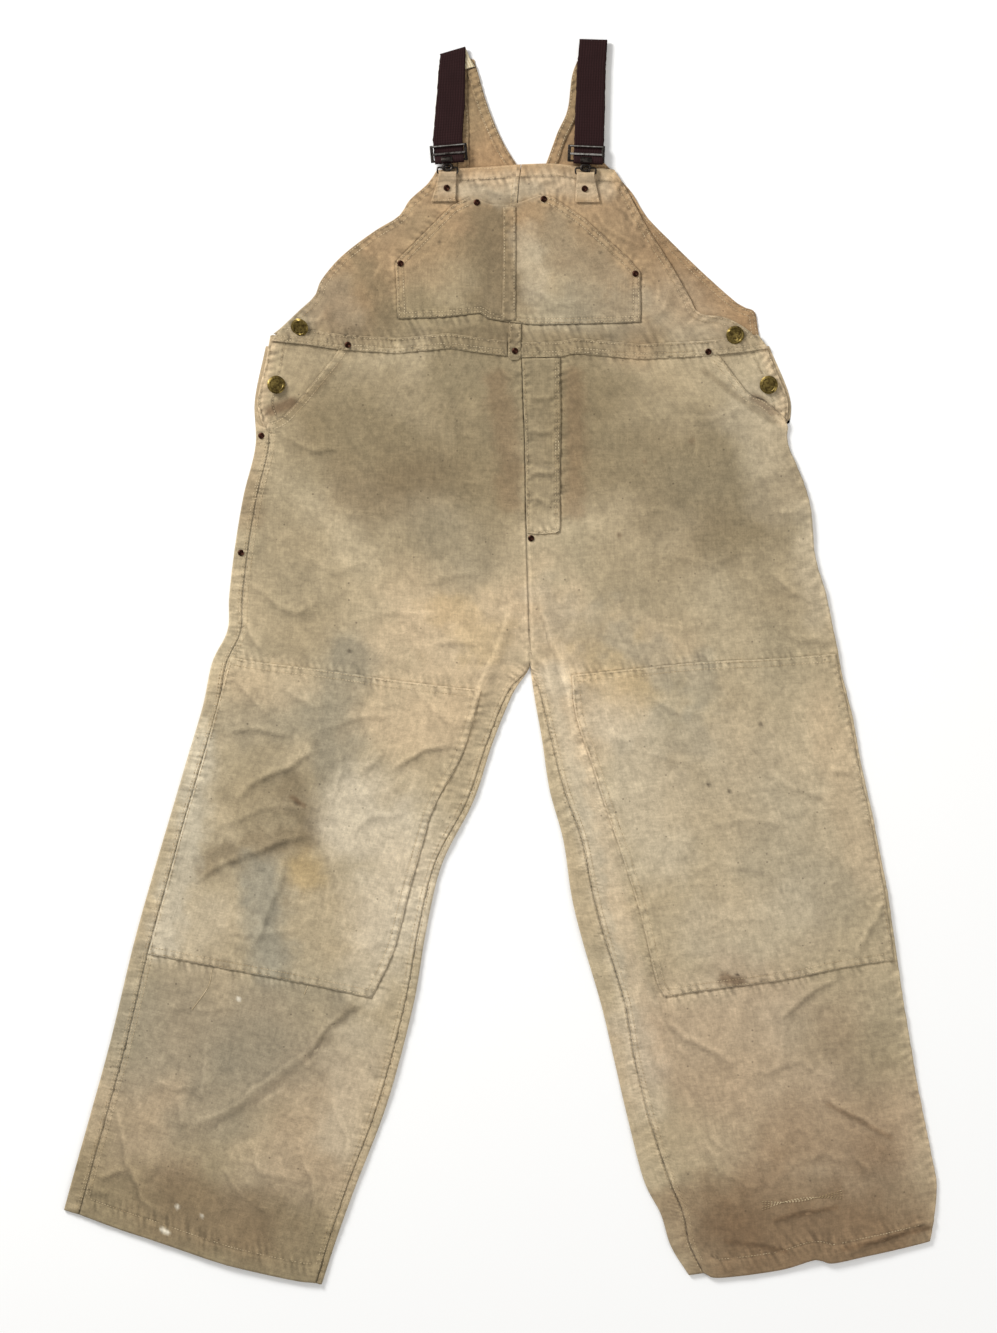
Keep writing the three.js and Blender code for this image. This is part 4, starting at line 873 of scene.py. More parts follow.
@dataclass(frozen=True)
class DuckFinish:
    """Cotton duck: a heavy plain weave, dull and slightly hairy, its colour rubbed pale on the ridges, with
    painted highlight and shade from the points.
    """

    name: str
    thread_mm: float = 0.9  # real duck has a thread each 0.55 mm, drawn coarser so that it shows
    roughness: float = 0.93
    weave_depth: float = 0.35

    def material(self) -> bpy.types.Material:
        """Build the material."""
        material, tree, shader = new_material(self.name)
        # the points' colour: the cloth's stains and rubbing, with painted highlight and painted shade baked
        # in
        dye_and_shade = add_node(tree, "ShaderNodeAttribute", attribute_name="dye_and_shade")
        cloth = add_node(tree, "ShaderNodeUVMap", uv_map="cloth")
        place = add_node(tree, "ShaderNodeTexCoord")
        # blotches of a few millimetres, as wear and dust leave them
        mottle = add_node(
            tree, "ShaderNodeTexNoise",
            {"Vector": place.outputs["Object"], "Scale": 1 / 0.0045, "Detail": 8.0, "Roughness": 0.88},
        )
        grime = add_node(
            tree, "ShaderNodeTexNoise",
            {"Vector": place.outputs["Object"], "Scale": 1 / 0.022, "Detail": 7.0, "Roughness": 0.75},
        )
        # slubs: threads a little thicker or paler for a few centimetres, along the warp and along the weft
        shades = []
        for stretch in ((1 / 0.0021, 1 / 0.026, 1.0), (1 / 0.022, 1 / 0.0021, 1.0)):
            along = add_node(tree, "ShaderNodeMapping", {"Vector": cloth.outputs["UV"], "Scale": stretch})
            slub = add_node(
                tree, "ShaderNodeTexNoise", {"Vector": along.outputs["Vector"], "Scale": 1.0, "Detail": 3.0},
            )
            shades.append(add_node(
                tree, "ShaderNodeMapRange",
                {
                    "Value": slub.outputs["Fac"], "From Min": 0.25, "From Max": 0.75, "To Min": 0.93,
                    "To Max": 1.07,
                },
            ))
        slubs = add_node(
            tree, "ShaderNodeMath", {0: shades[0].outputs["Result"], 1: shades[1].outputs["Result"]},
            operation="MULTIPLY",
        )
        patch = add_node(
            tree, "ShaderNodeMapRange",
            {
                "Value": mottle.outputs["Fac"], "From Min": 0.3, "From Max": 0.7, "To Min": 0.72,
                "To Max": 1.25,
            },
        )
        cloud = add_node(
            tree, "ShaderNodeMapRange",
            {"Value": grime.outputs["Fac"], "From Min": 0.3, "From Max": 0.7, "To Min": 0.92, "To Max": 1.07},
        )
        both = add_node(
            tree, "ShaderNodeMath", {0: patch.outputs["Result"], 1: cloud.outputs["Result"]},
            operation="MULTIPLY",
        )
        shade = add_node(
            tree, "ShaderNodeMath", {0: both.outputs["Value"], 1: slubs.outputs["Value"]},
            operation="MULTIPLY",
        )
        # fine specks of dirt and old paint
        cells = add_node(
            tree, "ShaderNodeTexVoronoi", {"Vector": place.outputs["Object"], "Scale": 1 / 0.0085},
        )
        chosen = add_node(tree, "ShaderNodeSeparateColor", {"Color": cells.outputs["Color"]})
        rare = add_node(tree, "ShaderNodeMath", {0: chosen.outputs["Red"], 1: 0.9}, operation="GREATER_THAN")
        small = add_node(
            tree, "ShaderNodeMapRange",
            {
                "Value": cells.outputs["Distance"], "From Min": 0.1, "From Max": 0.17, "To Min": 0.45,
                "To Max": 0.0,
            },
        )
        speck = add_node(
            tree, "ShaderNodeMath", {0: rare.outputs["Value"], 1: small.outputs["Result"]},
            operation="MULTIPLY",
        )
        grey = add_node(
            tree, "ShaderNodeCombineColor",
            {"Red": shade.outputs["Value"], "Green": shade.outputs["Value"], "Blue": shade.outputs["Value"]},
        )
        worn = add_node(
            tree, "ShaderNodeMix", {0: 1.0, 6: dye_and_shade.outputs["Color"], 7: grey.outputs["Color"]},
            data_type="RGBA", blend_type="MULTIPLY",
        )
        specked = add_node(
            tree, "ShaderNodeMix", {0: speck.outputs["Value"], 6: worn.outputs[2], 7: rgba(Tone.SOOT.value)},
            data_type="RGBA",
        )
        # the weave itself: threads over and under each other
        turns = 1 / (self.thread_mm * MM)
        waves = [
            add_node(
                tree, "ShaderNodeTexWave",
                {
                    "Vector": cloth.outputs["UV"], "Scale": turns / 6.283, "Distortion": 0.6, "Detail": 1.0,
                    "Detail Scale": 0.4,
                },
                bands_direction=direction,
            )
            for direction in ("X", "Y")
        ]
        weave = add_node(
            tree, "ShaderNodeMath", {0: waves[0].outputs["Fac"], 1: waves[1].outputs["Fac"]},
            operation="MULTIPLY",
        )
        fuzz = add_node(
            tree, "ShaderNodeTexNoise",
            {"Vector": place.outputs["Object"], "Scale": 1 / 0.0018, "Detail": 3.0},
        )
        bump = add_node(
            tree, "ShaderNodeBump",
            {"Height": weave.outputs["Value"], "Strength": self.weave_depth, "Distance": 0.0004},
        )
        hair = add_node(
            tree, "ShaderNodeBump",
            {
                "Height": fuzz.outputs["Fac"], "Strength": 0.5, "Distance": 0.0005,
                "Normal": bump.outputs["Normal"],
            },
        )
        rough = add_node(
            tree, "ShaderNodeBump",
            {
                "Height": mottle.outputs["Fac"], "Strength": 0.7, "Distance": 0.0012,
                "Normal": hair.outputs["Normal"],
            },
        )
        tree.links.new(specked.outputs[2], shader.inputs["Base Color"])
        tree.links.new(rough.outputs["Normal"], shader.inputs["Normal"])
        shader.inputs["Roughness"].default_value = self.roughness
        shader.inputs["IOR"].default_value = 1.45
        shader.inputs["Specular IOR Level"].default_value = 0.2
        shader.inputs["Sheen Weight"].default_value = 0.12
        shader.inputs["Sheen Roughness"].default_value = 0.6
        return material


@dataclass(frozen=True)
class ThreadFinish:
    """Waxed cotton sewing thread: paler than the cloth, a little smoother, dirty in places."""

    name: str = "sewing_thread"
    colour: str = "#dbc8a4"
    roughness: float = 0.8

    def material(self) -> bpy.types.Material:
        """Build the material."""
        material, tree, shader = new_material(self.name)
        place = add_node(tree, "ShaderNodeTexCoord")
        dirt = add_node(
            tree, "ShaderNodeTexNoise", {"Vector": place.outputs["Object"], "Scale": 1 / 0.02, "Detail": 4.0},
        )
        ramp = add_node(
            tree, "ShaderNodeMapRange", {"Value": dirt.outputs["Fac"], "From Min": 0.35, "From Max": 0.65},
        )
        mix = add_node(
            tree, "ShaderNodeMix", {0: ramp.outputs["Result"], 6: rgba("#a68f6a"), 7: rgba(self.colour)},
            data_type="RGBA",
        )
        tree.links.new(mix.outputs[2], shader.inputs["Base Color"])
        shader.inputs["Roughness"].default_value = self.roughness
        return material


@dataclass(frozen=True)
class WebbingFinish:
    """Woven elastic webbing: fine ribs across it, a dull face, and a lighter line where it has rubbed."""

    name: str
    colour: str
    worn: str
    rib_mm: float = 1.6
    roughness: float = 0.8

    def material(self) -> bpy.types.Material:
        """Build the material."""
        material, tree, shader = new_material(self.name)
        cloth = add_node(tree, "ShaderNodeUVMap", uv_map="cloth")
        place = add_node(tree, "ShaderNodeTexCoord")
        rub = add_node(
            tree, "ShaderNodeTexNoise",
            {"Vector": place.outputs["Object"], "Scale": 1 / 0.018, "Detail": 6.0, "Roughness": 0.7},
        )
        lines = add_node(
            tree, "ShaderNodeTexWave",
            {
                "Vector": cloth.outputs["UV"], "Scale": 1 / (1.5 * MM) / 6.283, "Distortion": 2.5,
                "Detail": 2.0,
            },
            bands_direction="X",
        )
        amount = add_node(
            tree, "ShaderNodeMath", {0: rub.outputs["Fac"], 1: lines.outputs["Fac"]}, operation="MULTIPLY",
        )
        share = add_node(
            tree, "ShaderNodeMapRange", {"Value": amount.outputs["Value"], "From Min": 0.1, "From Max": 0.6},
        )
        mix = add_node(
            tree, "ShaderNodeMix", {0: share.outputs["Result"], 6: rgba(self.colour), 7: rgba(self.worn)},
            data_type="RGBA",
        )
        ribs = add_node(
            tree, "ShaderNodeTexWave",
            {"Vector": cloth.outputs["UV"], "Scale": 1 / (self.rib_mm * MM) / 6.283}, bands_direction="Y",
        )
        height = add_node(
            tree, "ShaderNodeMath", {0: ribs.outputs["Fac"], 1: lines.outputs["Fac"]}, operation="ADD",
        )
        bump = add_node(
            tree, "ShaderNodeBump", {"Height": height.outputs["Value"], "Strength": 0.35, "Distance": 0.0004},
        )
        tree.links.new(mix.outputs[2], shader.inputs["Base Color"])
        tree.links.new(bump.outputs["Normal"], shader.inputs["Normal"])
        shader.inputs["Roughness"].default_value = self.roughness
        shader.inputs["Specular IOR Level"].default_value = 0.12
        return material


@dataclass(frozen=True)
class MetalFinish:
    """Plated or bare metal hardware: bright in places, dull and stained in patches."""

    name: str
    colour: str
    tarnish: str
    roughness: float
    dullness: float
    metallic: float = 1.0

    def material(self) -> bpy.types.Material:
        """Build the material."""
        material, tree, shader = new_material(self.name)
        place = add_node(tree, "ShaderNodeTexCoord")
        spots = add_node(
            tree, "ShaderNodeTexNoise",
            {"Vector": place.outputs["Object"], "Scale": 1 / 0.0035, "Detail": 5.0, "Roughness": 0.65},
        )
        share = add_node(
            tree, "ShaderNodeMapRange", {"Value": spots.outputs["Fac"], "From Min": 0.36, "From Max": 0.6},
        )
        mix = add_node(
            tree, "ShaderNodeMix", {0: share.outputs["Result"], 6: rgba(self.colour), 7: rgba(self.tarnish)},
            data_type="RGBA",
        )
        gloss = add_node(
            tree, "ShaderNodeMapRange",
            {"Value": share.outputs["Result"], "To Min": self.roughness, "To Max": self.dullness},
        )
        bump = add_node(
            tree, "ShaderNodeBump", {"Height": spots.outputs["Fac"], "Strength": 0.15, "Distance": 0.0003},
        )
        tree.links.new(mix.outputs[2], shader.inputs["Base Color"])
        tree.links.new(gloss.outputs["Result"], shader.inputs["Roughness"])
        tree.links.new(bump.outputs["Normal"], shader.inputs["Normal"])
        shader.inputs["Metallic"].default_value = self.metallic
        return material


class Finishes:
    """Every finish of the overalls, made once."""

    def __init__(self) -> None:
        """Make the materials."""
        self.duck = DuckFinish("worn_cotton_duck").material()
        self.inside = DuckFinish("cotton_duck_wrong_side", weave_depth=0.45).material()
        self.thread = ThreadFinish().material()
        self.webbing = WebbingFinish("brown_elastic_webbing", "#200f0f", "#2c1818").material()
        self.backing = WebbingFinish("cream_webbing_back", "#cfc3a6", "#b3a07a").material()
        self.steel = MetalFinish("worn_plated_steel", "#8b8580", "#2e2825", 0.28, 0.6).material()
        self.bright = MetalFinish("bright_worn_steel", "#dcd9d4", "#8e8881", 0.16, 0.35).material()
        self.dark_steel = MetalFinish("dark_oxidised_steel", "#4a443f", "#1c1816", 0.34, 0.6).material()
        self.brass = MetalFinish("antique_brass", "#8d7a45", "#4a3d20", 0.3, 0.55).material()
        self.copper = MetalFinish("dark_copper", "#54352a", "#241610", 0.34, 0.6).material()


# ---------------------------------------------------------------- sheets of cloth


def wall_mesh(
    name: str, top: Array, thickness: Array, faces_up: bool, under_step: int = UNDER_STEP,
) -> bpy.types.Mesh:
    """A closed wall of cloth under a grid of points.

    Args:
        name: the mesh's name.
        top: rows and columns of points on the outer face, in millimetres.
        thickness: the wall at each point.
        faces_up: whether the outer face looks up when rows run down the garment and columns to the right.
        under_step: the inner face has one point for this many of the outer face's.

    Returns:
        The mesh, in metres, with its outer points first and its flat cut as the map "cloth".
    """
    rows, columns = top.shape[:2]
    down, across = np.gradient(top, axis=0), np.gradient(top, axis=1)
    normal = np.cross(down, across) if faces_up else np.cross(across, down)
    normal /= np.maximum(np.linalg.norm(normal, axis=2, keepdims=True), 1e-9)
    ri, ci = np.arange(0, rows, under_step), np.arange(0, columns, under_step)
    under = (top - normal * thickness[..., None])[np.ix_(ri, ci)]
    points = np.concatenate([top.reshape(-1, 3), under.reshape(-1, 3)]) * MM
    points[:, 2] = np.maximum(points[:, 2], 0)
    index = np.arange(rows * columns).reshape(rows, columns)
    low = rows * columns + np.arange(len(ri) * len(ci)).reshape(len(ri), len(ci))

    def quads(grid: Array, turn: bool) -> list[list[int]]:
        """The faces of a grid of point numbers."""
        corner = (grid[:-1, :-1], grid[1:, :-1], grid[1:, 1:], grid[:-1, 1:])
        order = corner[::-1] if turn else corner
        return np.stack([c.ravel() for c in order], axis=1).tolist()

    faces = quads(index, not faces_up) + quads(low, faces_up)
    rim = (
        (index[0, :], low[0, :], False),
        (index[-1, :], low[-1, :], True),
        (index[:, 0], low[:, 0], True),
        (index[:, -1], low[:, -1], False),
    )
    for fine, coarse, turn in rim:
        for k in range(len(coarse) - 1):
            edge = fine[k * under_step : (k + 1) * under_step + 1].tolist()
            face = [*edge, int(coarse[k + 1]), int(coarse[k])]
            faces.append(face if turn != faces_up else face[::-1])
    mesh = bpy.data.meshes.new(name)
    mesh.from_pydata(points.tolist(), [], faces)
    lengths = np.linalg.norm(np.diff(top, axis=1), axis=2)
    u = np.concatenate([np.zeros((rows, 1)), np.cumsum(lengths, axis=1)], axis=1)
    u -= u[:, columns // 2 : columns // 2 + 1]
    v = np.broadcast_to(-travelled(top[:, columns // 2])[:, None], u.shape)
    flat = np.stack([u, v], axis=2) * MM
    per_point = np.concatenate([flat.reshape(-1, 2), flat[np.ix_(ri, ci)].reshape(-1, 2)])
    corners = np.empty(len(mesh.loops), np.int32)
    mesh.loops.foreach_get("vertex_index", corners)
    mesh.uv_layers.new(name="cloth").data.foreach_set("uv", per_point[corners].astype(np.float32).ravel())
    mesh.shade_smooth()
    return mesh


def colour_points(mesh: bpy.types.Mesh, colours: Array, under_step: int = UNDER_STEP) -> None:
    """Store a grid's colours on a wall's points, outer and inner."""
    rows, columns = colours.shape[:2]
    inner = colours[np.ix_(np.arange(0, rows, under_step), np.arange(0, columns, under_step))]
    values = np.concatenate([colours.reshape(-1, 4), inner.reshape(-1, 4)])
    mesh.attributes.new("dye_and_shade", "FLOAT_COLOR", "POINT").data.foreach_set(
        "color", values.astype(np.float32).ravel(),
    )


def show(name: str, mesh: bpy.types.Mesh, materials: list[bpy.types.Material]) -> bpy.types.Object:
    """Put a mesh in the scene as a piece with its materials."""
    piece = bpy.data.objects.new(name, mesh)
    bpy.context.scene.collection.objects.link(piece)
    for material in materials:
        mesh.materials.append(material)
    return piece


def coons(left: Array, right: Array, top: Array, bottom: Array, hold: float = 1.0) -> Array:
    """A grid between four lines.

    Args:
        left, right: the side lines, from the top row to the bottom row.
        top, bottom: the first and the last row, from left to right.
        hold: how quickly the shape of the first and last row fades from the rows between.

    Returns:
        The grid's points, by row and column.
    """
    v = np.linspace(0, 1, len(left))[:, None, None]
    u = np.linspace(0, 1, len(top))[None, :, None]
    ruled = (1 - u) * left[:, None] + u * right[:, None]
    bend_top = top[None] - ((1 - u) * top[0] + u * top[-1])
    bend_bottom = bottom[None] - ((1 - u) * bottom[0] + u * bottom[-1])
    return ruled + (1 - v) ** hold * bend_top + v**hold * bend_bottom


def ridges(z: Array) -> Array:
    """How far each point of a grid stands above those a few steps round it, from about -1 to 1."""
    mean = z.copy()
    for axis in (0, 1):
        padded = np.pad(mean, [(3, 3) if a == axis else (0, 0) for a in (0, 1)], mode="edge")
        mean = sum(np.take(padded, range(k, k + z.shape[axis]), axis=axis) for k in range(7)) / 7
    return np.clip((z - mean) / 0.45, -1, 1)


@dataclass
class Sheet:
    """One cut piece of cloth over a grid in plan."""

    name: str
    nodes: tuple[str, ...]
    plan: Array
    face: Face
    tone: Tone = Tone.FADED
    slot: str = "duck"
    rests_on: tuple[str, ...] = ()
    hem: float = 0.0
    hem_at_top: bool = False
    edge_wear: float = 0.9

    def shaped(self) -> tuple[Array, Array, Array, Array]:
        """Raise the sheet's grid.

        Returns:
            The points of its upper face, its thickness, its rubbing and painted light, and its lines of
            painted shade and dirt.
        """
        x, y = self.plan[..., 0], self.plan[..., 1]
        relief, wear_and_shade, seam_shade_and_dirt = self.face.detail(x, y)
        z = self.face.ground(x, y) + relief
        thickness = np.full(x.shape, CLOTH)
        if self.hem:
            edge = self.plan[:1] if self.hem_at_top else self.plan[-1:]
            doubled = smoothstep(self.hem + 1.5, self.hem - 1.5, np.linalg.norm(self.plan - edge, axis=2))
            thickness += 0.8 * doubled
            z = z + 0.7 * doubled
            wear_and_shade = wear_and_shade + 0.25 * doubled
        # crumples above their neighbours painted paler and hollows painted darker: painted highlight and
        # shade, with rubbing on the ridges; the borders rubbed pale
        wear_and_shade = wear_and_shade + 0.5 * ridges(z) + self.edge_wear * np.exp(-((self.border_distance() / 2.0) ** 2))
        return np.stack([x, y, z], axis=2), thickness, wear_and_shade, seam_shade_and_dirt

    def build(self, finishes: Finishes) -> bpy.types.Object:
        return self.finish(finishes, *self.shaped())

    def finish(
        self, finishes: Finishes, top: Array, thickness: Array, wear_and_shade: Array, seam_shade_and_dirt: Array,
        faces_up: bool = True
    ) -> bpy.types.Object:
        """Args:
            finishes: the finishes to take the cloth's from.
            top: the points of the outer face.
            thickness: the wall at each point.
            wear_and_shade, seam_shade_and_dirt: the rubbing and painted light, and the lines of painted shade
                and dirt, at each point.
            faces_up: whether rows run down the garment and columns to the right.

        Returns:
            The sheet.
        """
        mesh = wall_mesh(self.name, top, thickness, faces_up)
        colour_points(mesh, DYE_AND_SHADE.paint(top[..., 0], top[..., 1], self.tone, wear_and_shade, seam_shade_and_dirt))
        piece = show(self.name, mesh, [finishes.inside if self.slot == "duck_inside" else finishes.duck])
        finish_piece(piece, self.nodes)
        return piece

    def border_distance(self) -> Array:
        """The distance of each point from the sheet's nearest edge, along its rows and columns."""
        distances = []
        for axis in (0, 1):
            step = np.linalg.norm(np.diff(self.plan, axis=axis), axis=2)
            start = [(1, 0), (0, 0)] if axis == 0 else [(0, 0), (1, 0)]
            place = np.cumsum(np.pad(step, start), axis=axis)
            distances += [place, np.take(place, [-1], axis=axis) - place]
        return np.minimum.reduce(distances)


def finish_piece(piece: bpy.types.Object, nodes: tuple[str, ...]) -> None:
    """Fix a piece to the garment, and hide the frame's parts for the nodes it stands for."""
    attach(piece, "root")
    if nodes:
        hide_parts(*nodes)


def turned_edge(edge: Array, inward: Array, top: Array, amount: Array, steps: int) -> Array:
    """Columns that take the cloth round a fold, from its upper face to its underside.

    Args:
        edge: the fold's outermost line in plan.
        inward: the direction into the leg at each row.
        top: the height of the upper face at each row.
        amount: from 0, where the cloth isn't folded, to 1.
        steps: how many columns there are.

    Returns:
        The columns' points, from just past the upper face to the underside.
    """
    radius = (top / 2 * amount)[:, None]
    angle = np.linspace(math.pi / 2, -math.pi / 2, steps + 1)[None, 1:]
    inset = radius * (1 - np.cos(angle))
    plan = edge[:, None] + inward[:, None] * inset[..., None]
    height = top[:, None] - radius + radius * np.sin(angle)
    return np.concatenate([plan, height[..., None]], axis=2)


# ---------------------------------------------------------------- sewing


@dataclass(frozen=True)
class Row:
    """A row of stitches: its line in plan, the height of the cloth under it, and its stitch."""

    line: Array
    height: Height
    pitch: float = 3.5
    length: float = 2.7
    width: float = 0.75


def beside(line: Array, offset: float) -> Array:
    """A line moved sideways, to its left if the offset is positive."""
    along = np.gradient(line, axis=0)
    along /= np.maximum(np.linalg.norm(along, axis=1, keepdims=True), 1e-9)
    return line + offset * np.stack([-along[:, 1], along[:, 0]], axis=1)


STITCH_SHAPE = np.array(
    [
        (-0.5, 0, -0.3), (0.5, 0, -0.3),
        (-0.3, -0.5, -0.1), (-0.3, 0, 0.42), (-0.3, 0.5, -0.1),
        (0.3, -0.5, -0.1), (0.3, 0, 0.42), (0.3, 0.5, -0.1),
    ]
)
STITCH_FACES = (
    (0, 3, 2), (0, 4, 3), (0, 2, 4), (1, 5, 6), (1, 6, 7), (1, 7, 5),
    (2, 3, 6, 5), (3, 4, 7, 6), (4, 2, 5, 7),
)


def stitches(name: str, rows: list[Row], finishes: Finishes) -> bpy.types.Object:
    """Sew rows of stitches as one piece.

    Args:
        name: the piece's name.
        rows: the rows to sew.
        finishes: the finishes to take the thread's from.

    Returns:
        The stitches.
    """
    points, faces, total = [], [], 0
    shape, order = STITCH_SHAPE, np.array([(*f, -1)[:4] for f in STITCH_FACES])
    for number, row in enumerate(rows):
        random = np.random.default_rng(1000 + number + 13 * len(name))
        place = travelled(row.line)
        starts = np.arange(0.6 * row.pitch, place[-1] - 0.5 * row.pitch, row.pitch)
        starts = starts[random.random(len(starts)) > 0.03]
        starts = starts + random.normal(0, 0.12, len(starts))
        ends = []
        for shift in (-0.5 * row.length, 0.5 * row.length):
            ends.append(np.stack([np.interp(starts + shift, place, row.line[:, k]) for k in (0, 1)], axis=1))
        tail, head = ends
        middle = (tail + head) / 2
        along = head - tail
        size = np.maximum(np.linalg.norm(along, axis=1), 1e-6)
        along /= size[:, None]
        rise = row.height(head[:, 0], head[:, 1]) - row.height(tail[:, 0], tail[:, 1])
        level = row.height(middle[:, 0], middle[:, 1])
        lx, ly, lz = (shape[:, k][None, :] for k in range(3))
        x = middle[:, :1] + along[:, :1] * lx * size[:, None] - along[:, 1:] * ly * row.width
        y = middle[:, 1:] + along[:, 1:] * lx * size[:, None] + along[:, :1] * ly * row.width
        z = level[:, None] + 0.12 + lz * row.width + rise[:, None] * lx
        points.append(np.stack([x, y, z], axis=2).reshape(-1, 3))
        first = total + len(shape) * np.arange(len(starts))
        faces += [[int(v) + s for v in f if v >= 0] for s in first for f in order]
        total += len(shape) * len(starts)
    mesh = bpy.data.meshes.new(name)
    mesh.from_pydata((np.concatenate(points) * MM).tolist(), [], faces)
    mesh.shade_smooth()
    piece = show(name, mesh, [finishes.thread])
    finish_piece(piece, ())
    log.info("%s: %d stitches", name, total // len(shape))
    return piece


def waist_line(rise: float, start: float, end: float) -> Array:
    """The waist seam between two places across the garment, raised by an amount."""
    low = array(WAIST_LOW)
    x = np.linspace(start, end, max(2, int(abs(end - start) / 6)))
    return np.stack([x, np.interp(x, low[:, 0], low[:, 1]) + rise], axis=1)


# ---------------------------------------------------------------- the legs


@dataclass
class Leg:
    """A front leg and the back leg under it, with the strip of back leg that comes round each edge."""

    side: str
    hip: Points
    outside: Points
    inside: Points
    hem_line: Points
    mouth: Points
    outer_strip: tuple[float, ...]
    inner_strip: tuple[float, ...]
    outer_laps_front: bool
    patch_edges: tuple[Points, ...] = ()
    hem: float = 22.0
    mouth_end: float = 281.0  # the pocket's mouth ends here, and the outer seam begins
    crotch: float = -2.0

    def __post_init__(self) -> None:
        """Work out the matched lines of the leg's two edges."""
        self.outer = array(self.hip + self.outside)
        self.inner = array(CENTRE_FRONT + self.inside)
        self.rows = grid_count(1120, MESH_STEP)
        self.at = paired_places(self.outer, self.inner, self.rows)
        self.outer_edge = through(self.outer, self.at)
        self.inner_edge = through(self.inner, self.at)
        across = self.inner_edge - self.outer_edge
        self.across = across / np.linalg.norm(across, axis=1, keepdims=True)
        stations = np.arange(len(self.outer))
        self.outer_width = np.interp(self.at, stations, self.outer_strip)
        self.inner_width = np.interp(self.at, stations, self.inner_strip)
        self.outer_open = self.opened(self.outer_edge)
        self.inner_open = smoothstep(self.crotch, self.crotch - 26, self.inner_edge[:, 1])
        self.outer_seam = self.outer_edge + self.across * self.outer_width[:, None]
        self.inner_seam = self.inner_edge - self.across * (self.inner_width * self.inner_open)[:, None]

    def opened(self, edge: Array) -> Array:
        """How far the outer edge is turned round at places, from 0 at the mouth's end to 1 below it."""
        return smoothstep(self.mouth_end + 3, self.mouth_end - 5, edge[:, 1])

    def below(self, line: Array, y: float) -> Array:
        """The part of a line that is below a height on the garment."""
        return line[line[:, 1] < y]

    def felled(self, line: Array, depth: float, reach: float, bulk: float, wide: float) -> Seam:
        """The close puckers and the bulk of a felled seam along one of the leg's edges."""
        top = self.crotch - 4 if line is self.inner_seam else self.mouth_end - 1
        return Seam(
            self.below(line, top)[::6], depth, reach, 5.5, skew=0.15, bulk=bulk, bulk_width=wide, groove=0.26,
        )

    def front_seams(self) -> tuple[Seam, ...]:
        """The seams that pucker the front leg."""
        foot = self.foot_line()
        hem_row = beside(foot, self.hem if foot[0, 0] < foot[-1, 0] else -self.hem)
        seams = [
            Seam(evenly(self.mouth, 30), 0.6, 9, 6.5, bulk=0.6, bulk_width=9, groove=0.2),
            Seam(hem_row, 0.6, 11, 7.5, bulk=0.35, bulk_width=20, groove=0.2),
            Seam(waist_line(0, -270, 312), 0.4, 10, 10),
            # lines of painted shade, with some dirt, along the knee patches' and the fly's edges, where their
            # edges step up
            *(Seam(evenly(edge, 60), 0.4, 9, 8, groove=0.14) for edge in self.patch_edges),
            self.felled(self.inner_seam, 0.9, 9, 0.45, 8),
            Seam(evenly(CENTRE_FRONT, 40), 0.3, 6, 10, bulk=0.4, bulk_width=7, groove=0.35),
        ]
        if self.outer_laps_front:
            seams.append(self.felled(self.outer_seam, 0.9, 9, 0.45, 8))
        else:
            fold = self.below(self.outer_edge, self.mouth_end - 1)[::6]
            seams.append(Seam(fold, 0.45, 12, 11, bulk=0.3, bulk_width=6))
        return tuple(seams)

    def foot_line(self) -> Array:
        """The hem of the front leg, from left to right."""
        ends = (self.inner_seam[-1], self.outer_edge[-1])
        if self.side == "left":
            ends = (self.outer_seam[-1], self.inner_seam[-1])
        low, high = ends[0][0] + 6, ends[1][0] - 6
        middle = [p for p in self.hem_line if low < p[0] < high]
        return evenly(np.array([ends[0], *middle, ends[1]]), 60)

    def front_plan(self) -> Array:
        """The grid of the front leg in plan, rows from the waist to the hem."""
        hips = 2
        mouth, centre = array(self.mouth), array(CENTRE_BY_MOUTH)
        stations = np.arange(len(self.outer))[hips:]
        edge = self.outer_seam if self.outer_laps_front else self.outer_edge + self.across * 2.0
        outer, inner = (
            np.vstack([start, np.array([np.interp(stations, self.at, line[:, k]) for k in (0, 1)]).T])
            for start, line in ((mouth, edge), (centre, self.inner_seam))
        )
        at = paired_places(outer, inner, self.rows)
        outer, inner = through(outer, at), through(inner, at)
        left, right = (outer, inner) if self.side == "left" else (inner, outer)
        columns = grid_count(305, MESH_STEP)
        top = waist_line(LAP, left[0, 0], right[0, 0])
        top[0], top[-1] = left[0], right[0]
        foot = self.foot_line().copy()
        foot[0], foot[-1] = left[-1], right[-1]
        return coons(left, right, evenly(top, columns, False), evenly(foot, columns), hold=7)

    def front(self, finishes: Finishes) -> Face:
        """Build the front leg, and give the face that its stitches lie on."""
        face = Face(0.0, self.front_seams())
        name = f"front_leg_{self.side}"
        sheet = Sheet(
            name, (name,), self.front_plan(), face, rests_on=(f"back_leg_{self.side}",), hem=self.hem,
        )
        if self.outer_laps_front:
            sheet.build(finishes)
        else:
            self.front_with_fold(sheet, finishes)
        return face

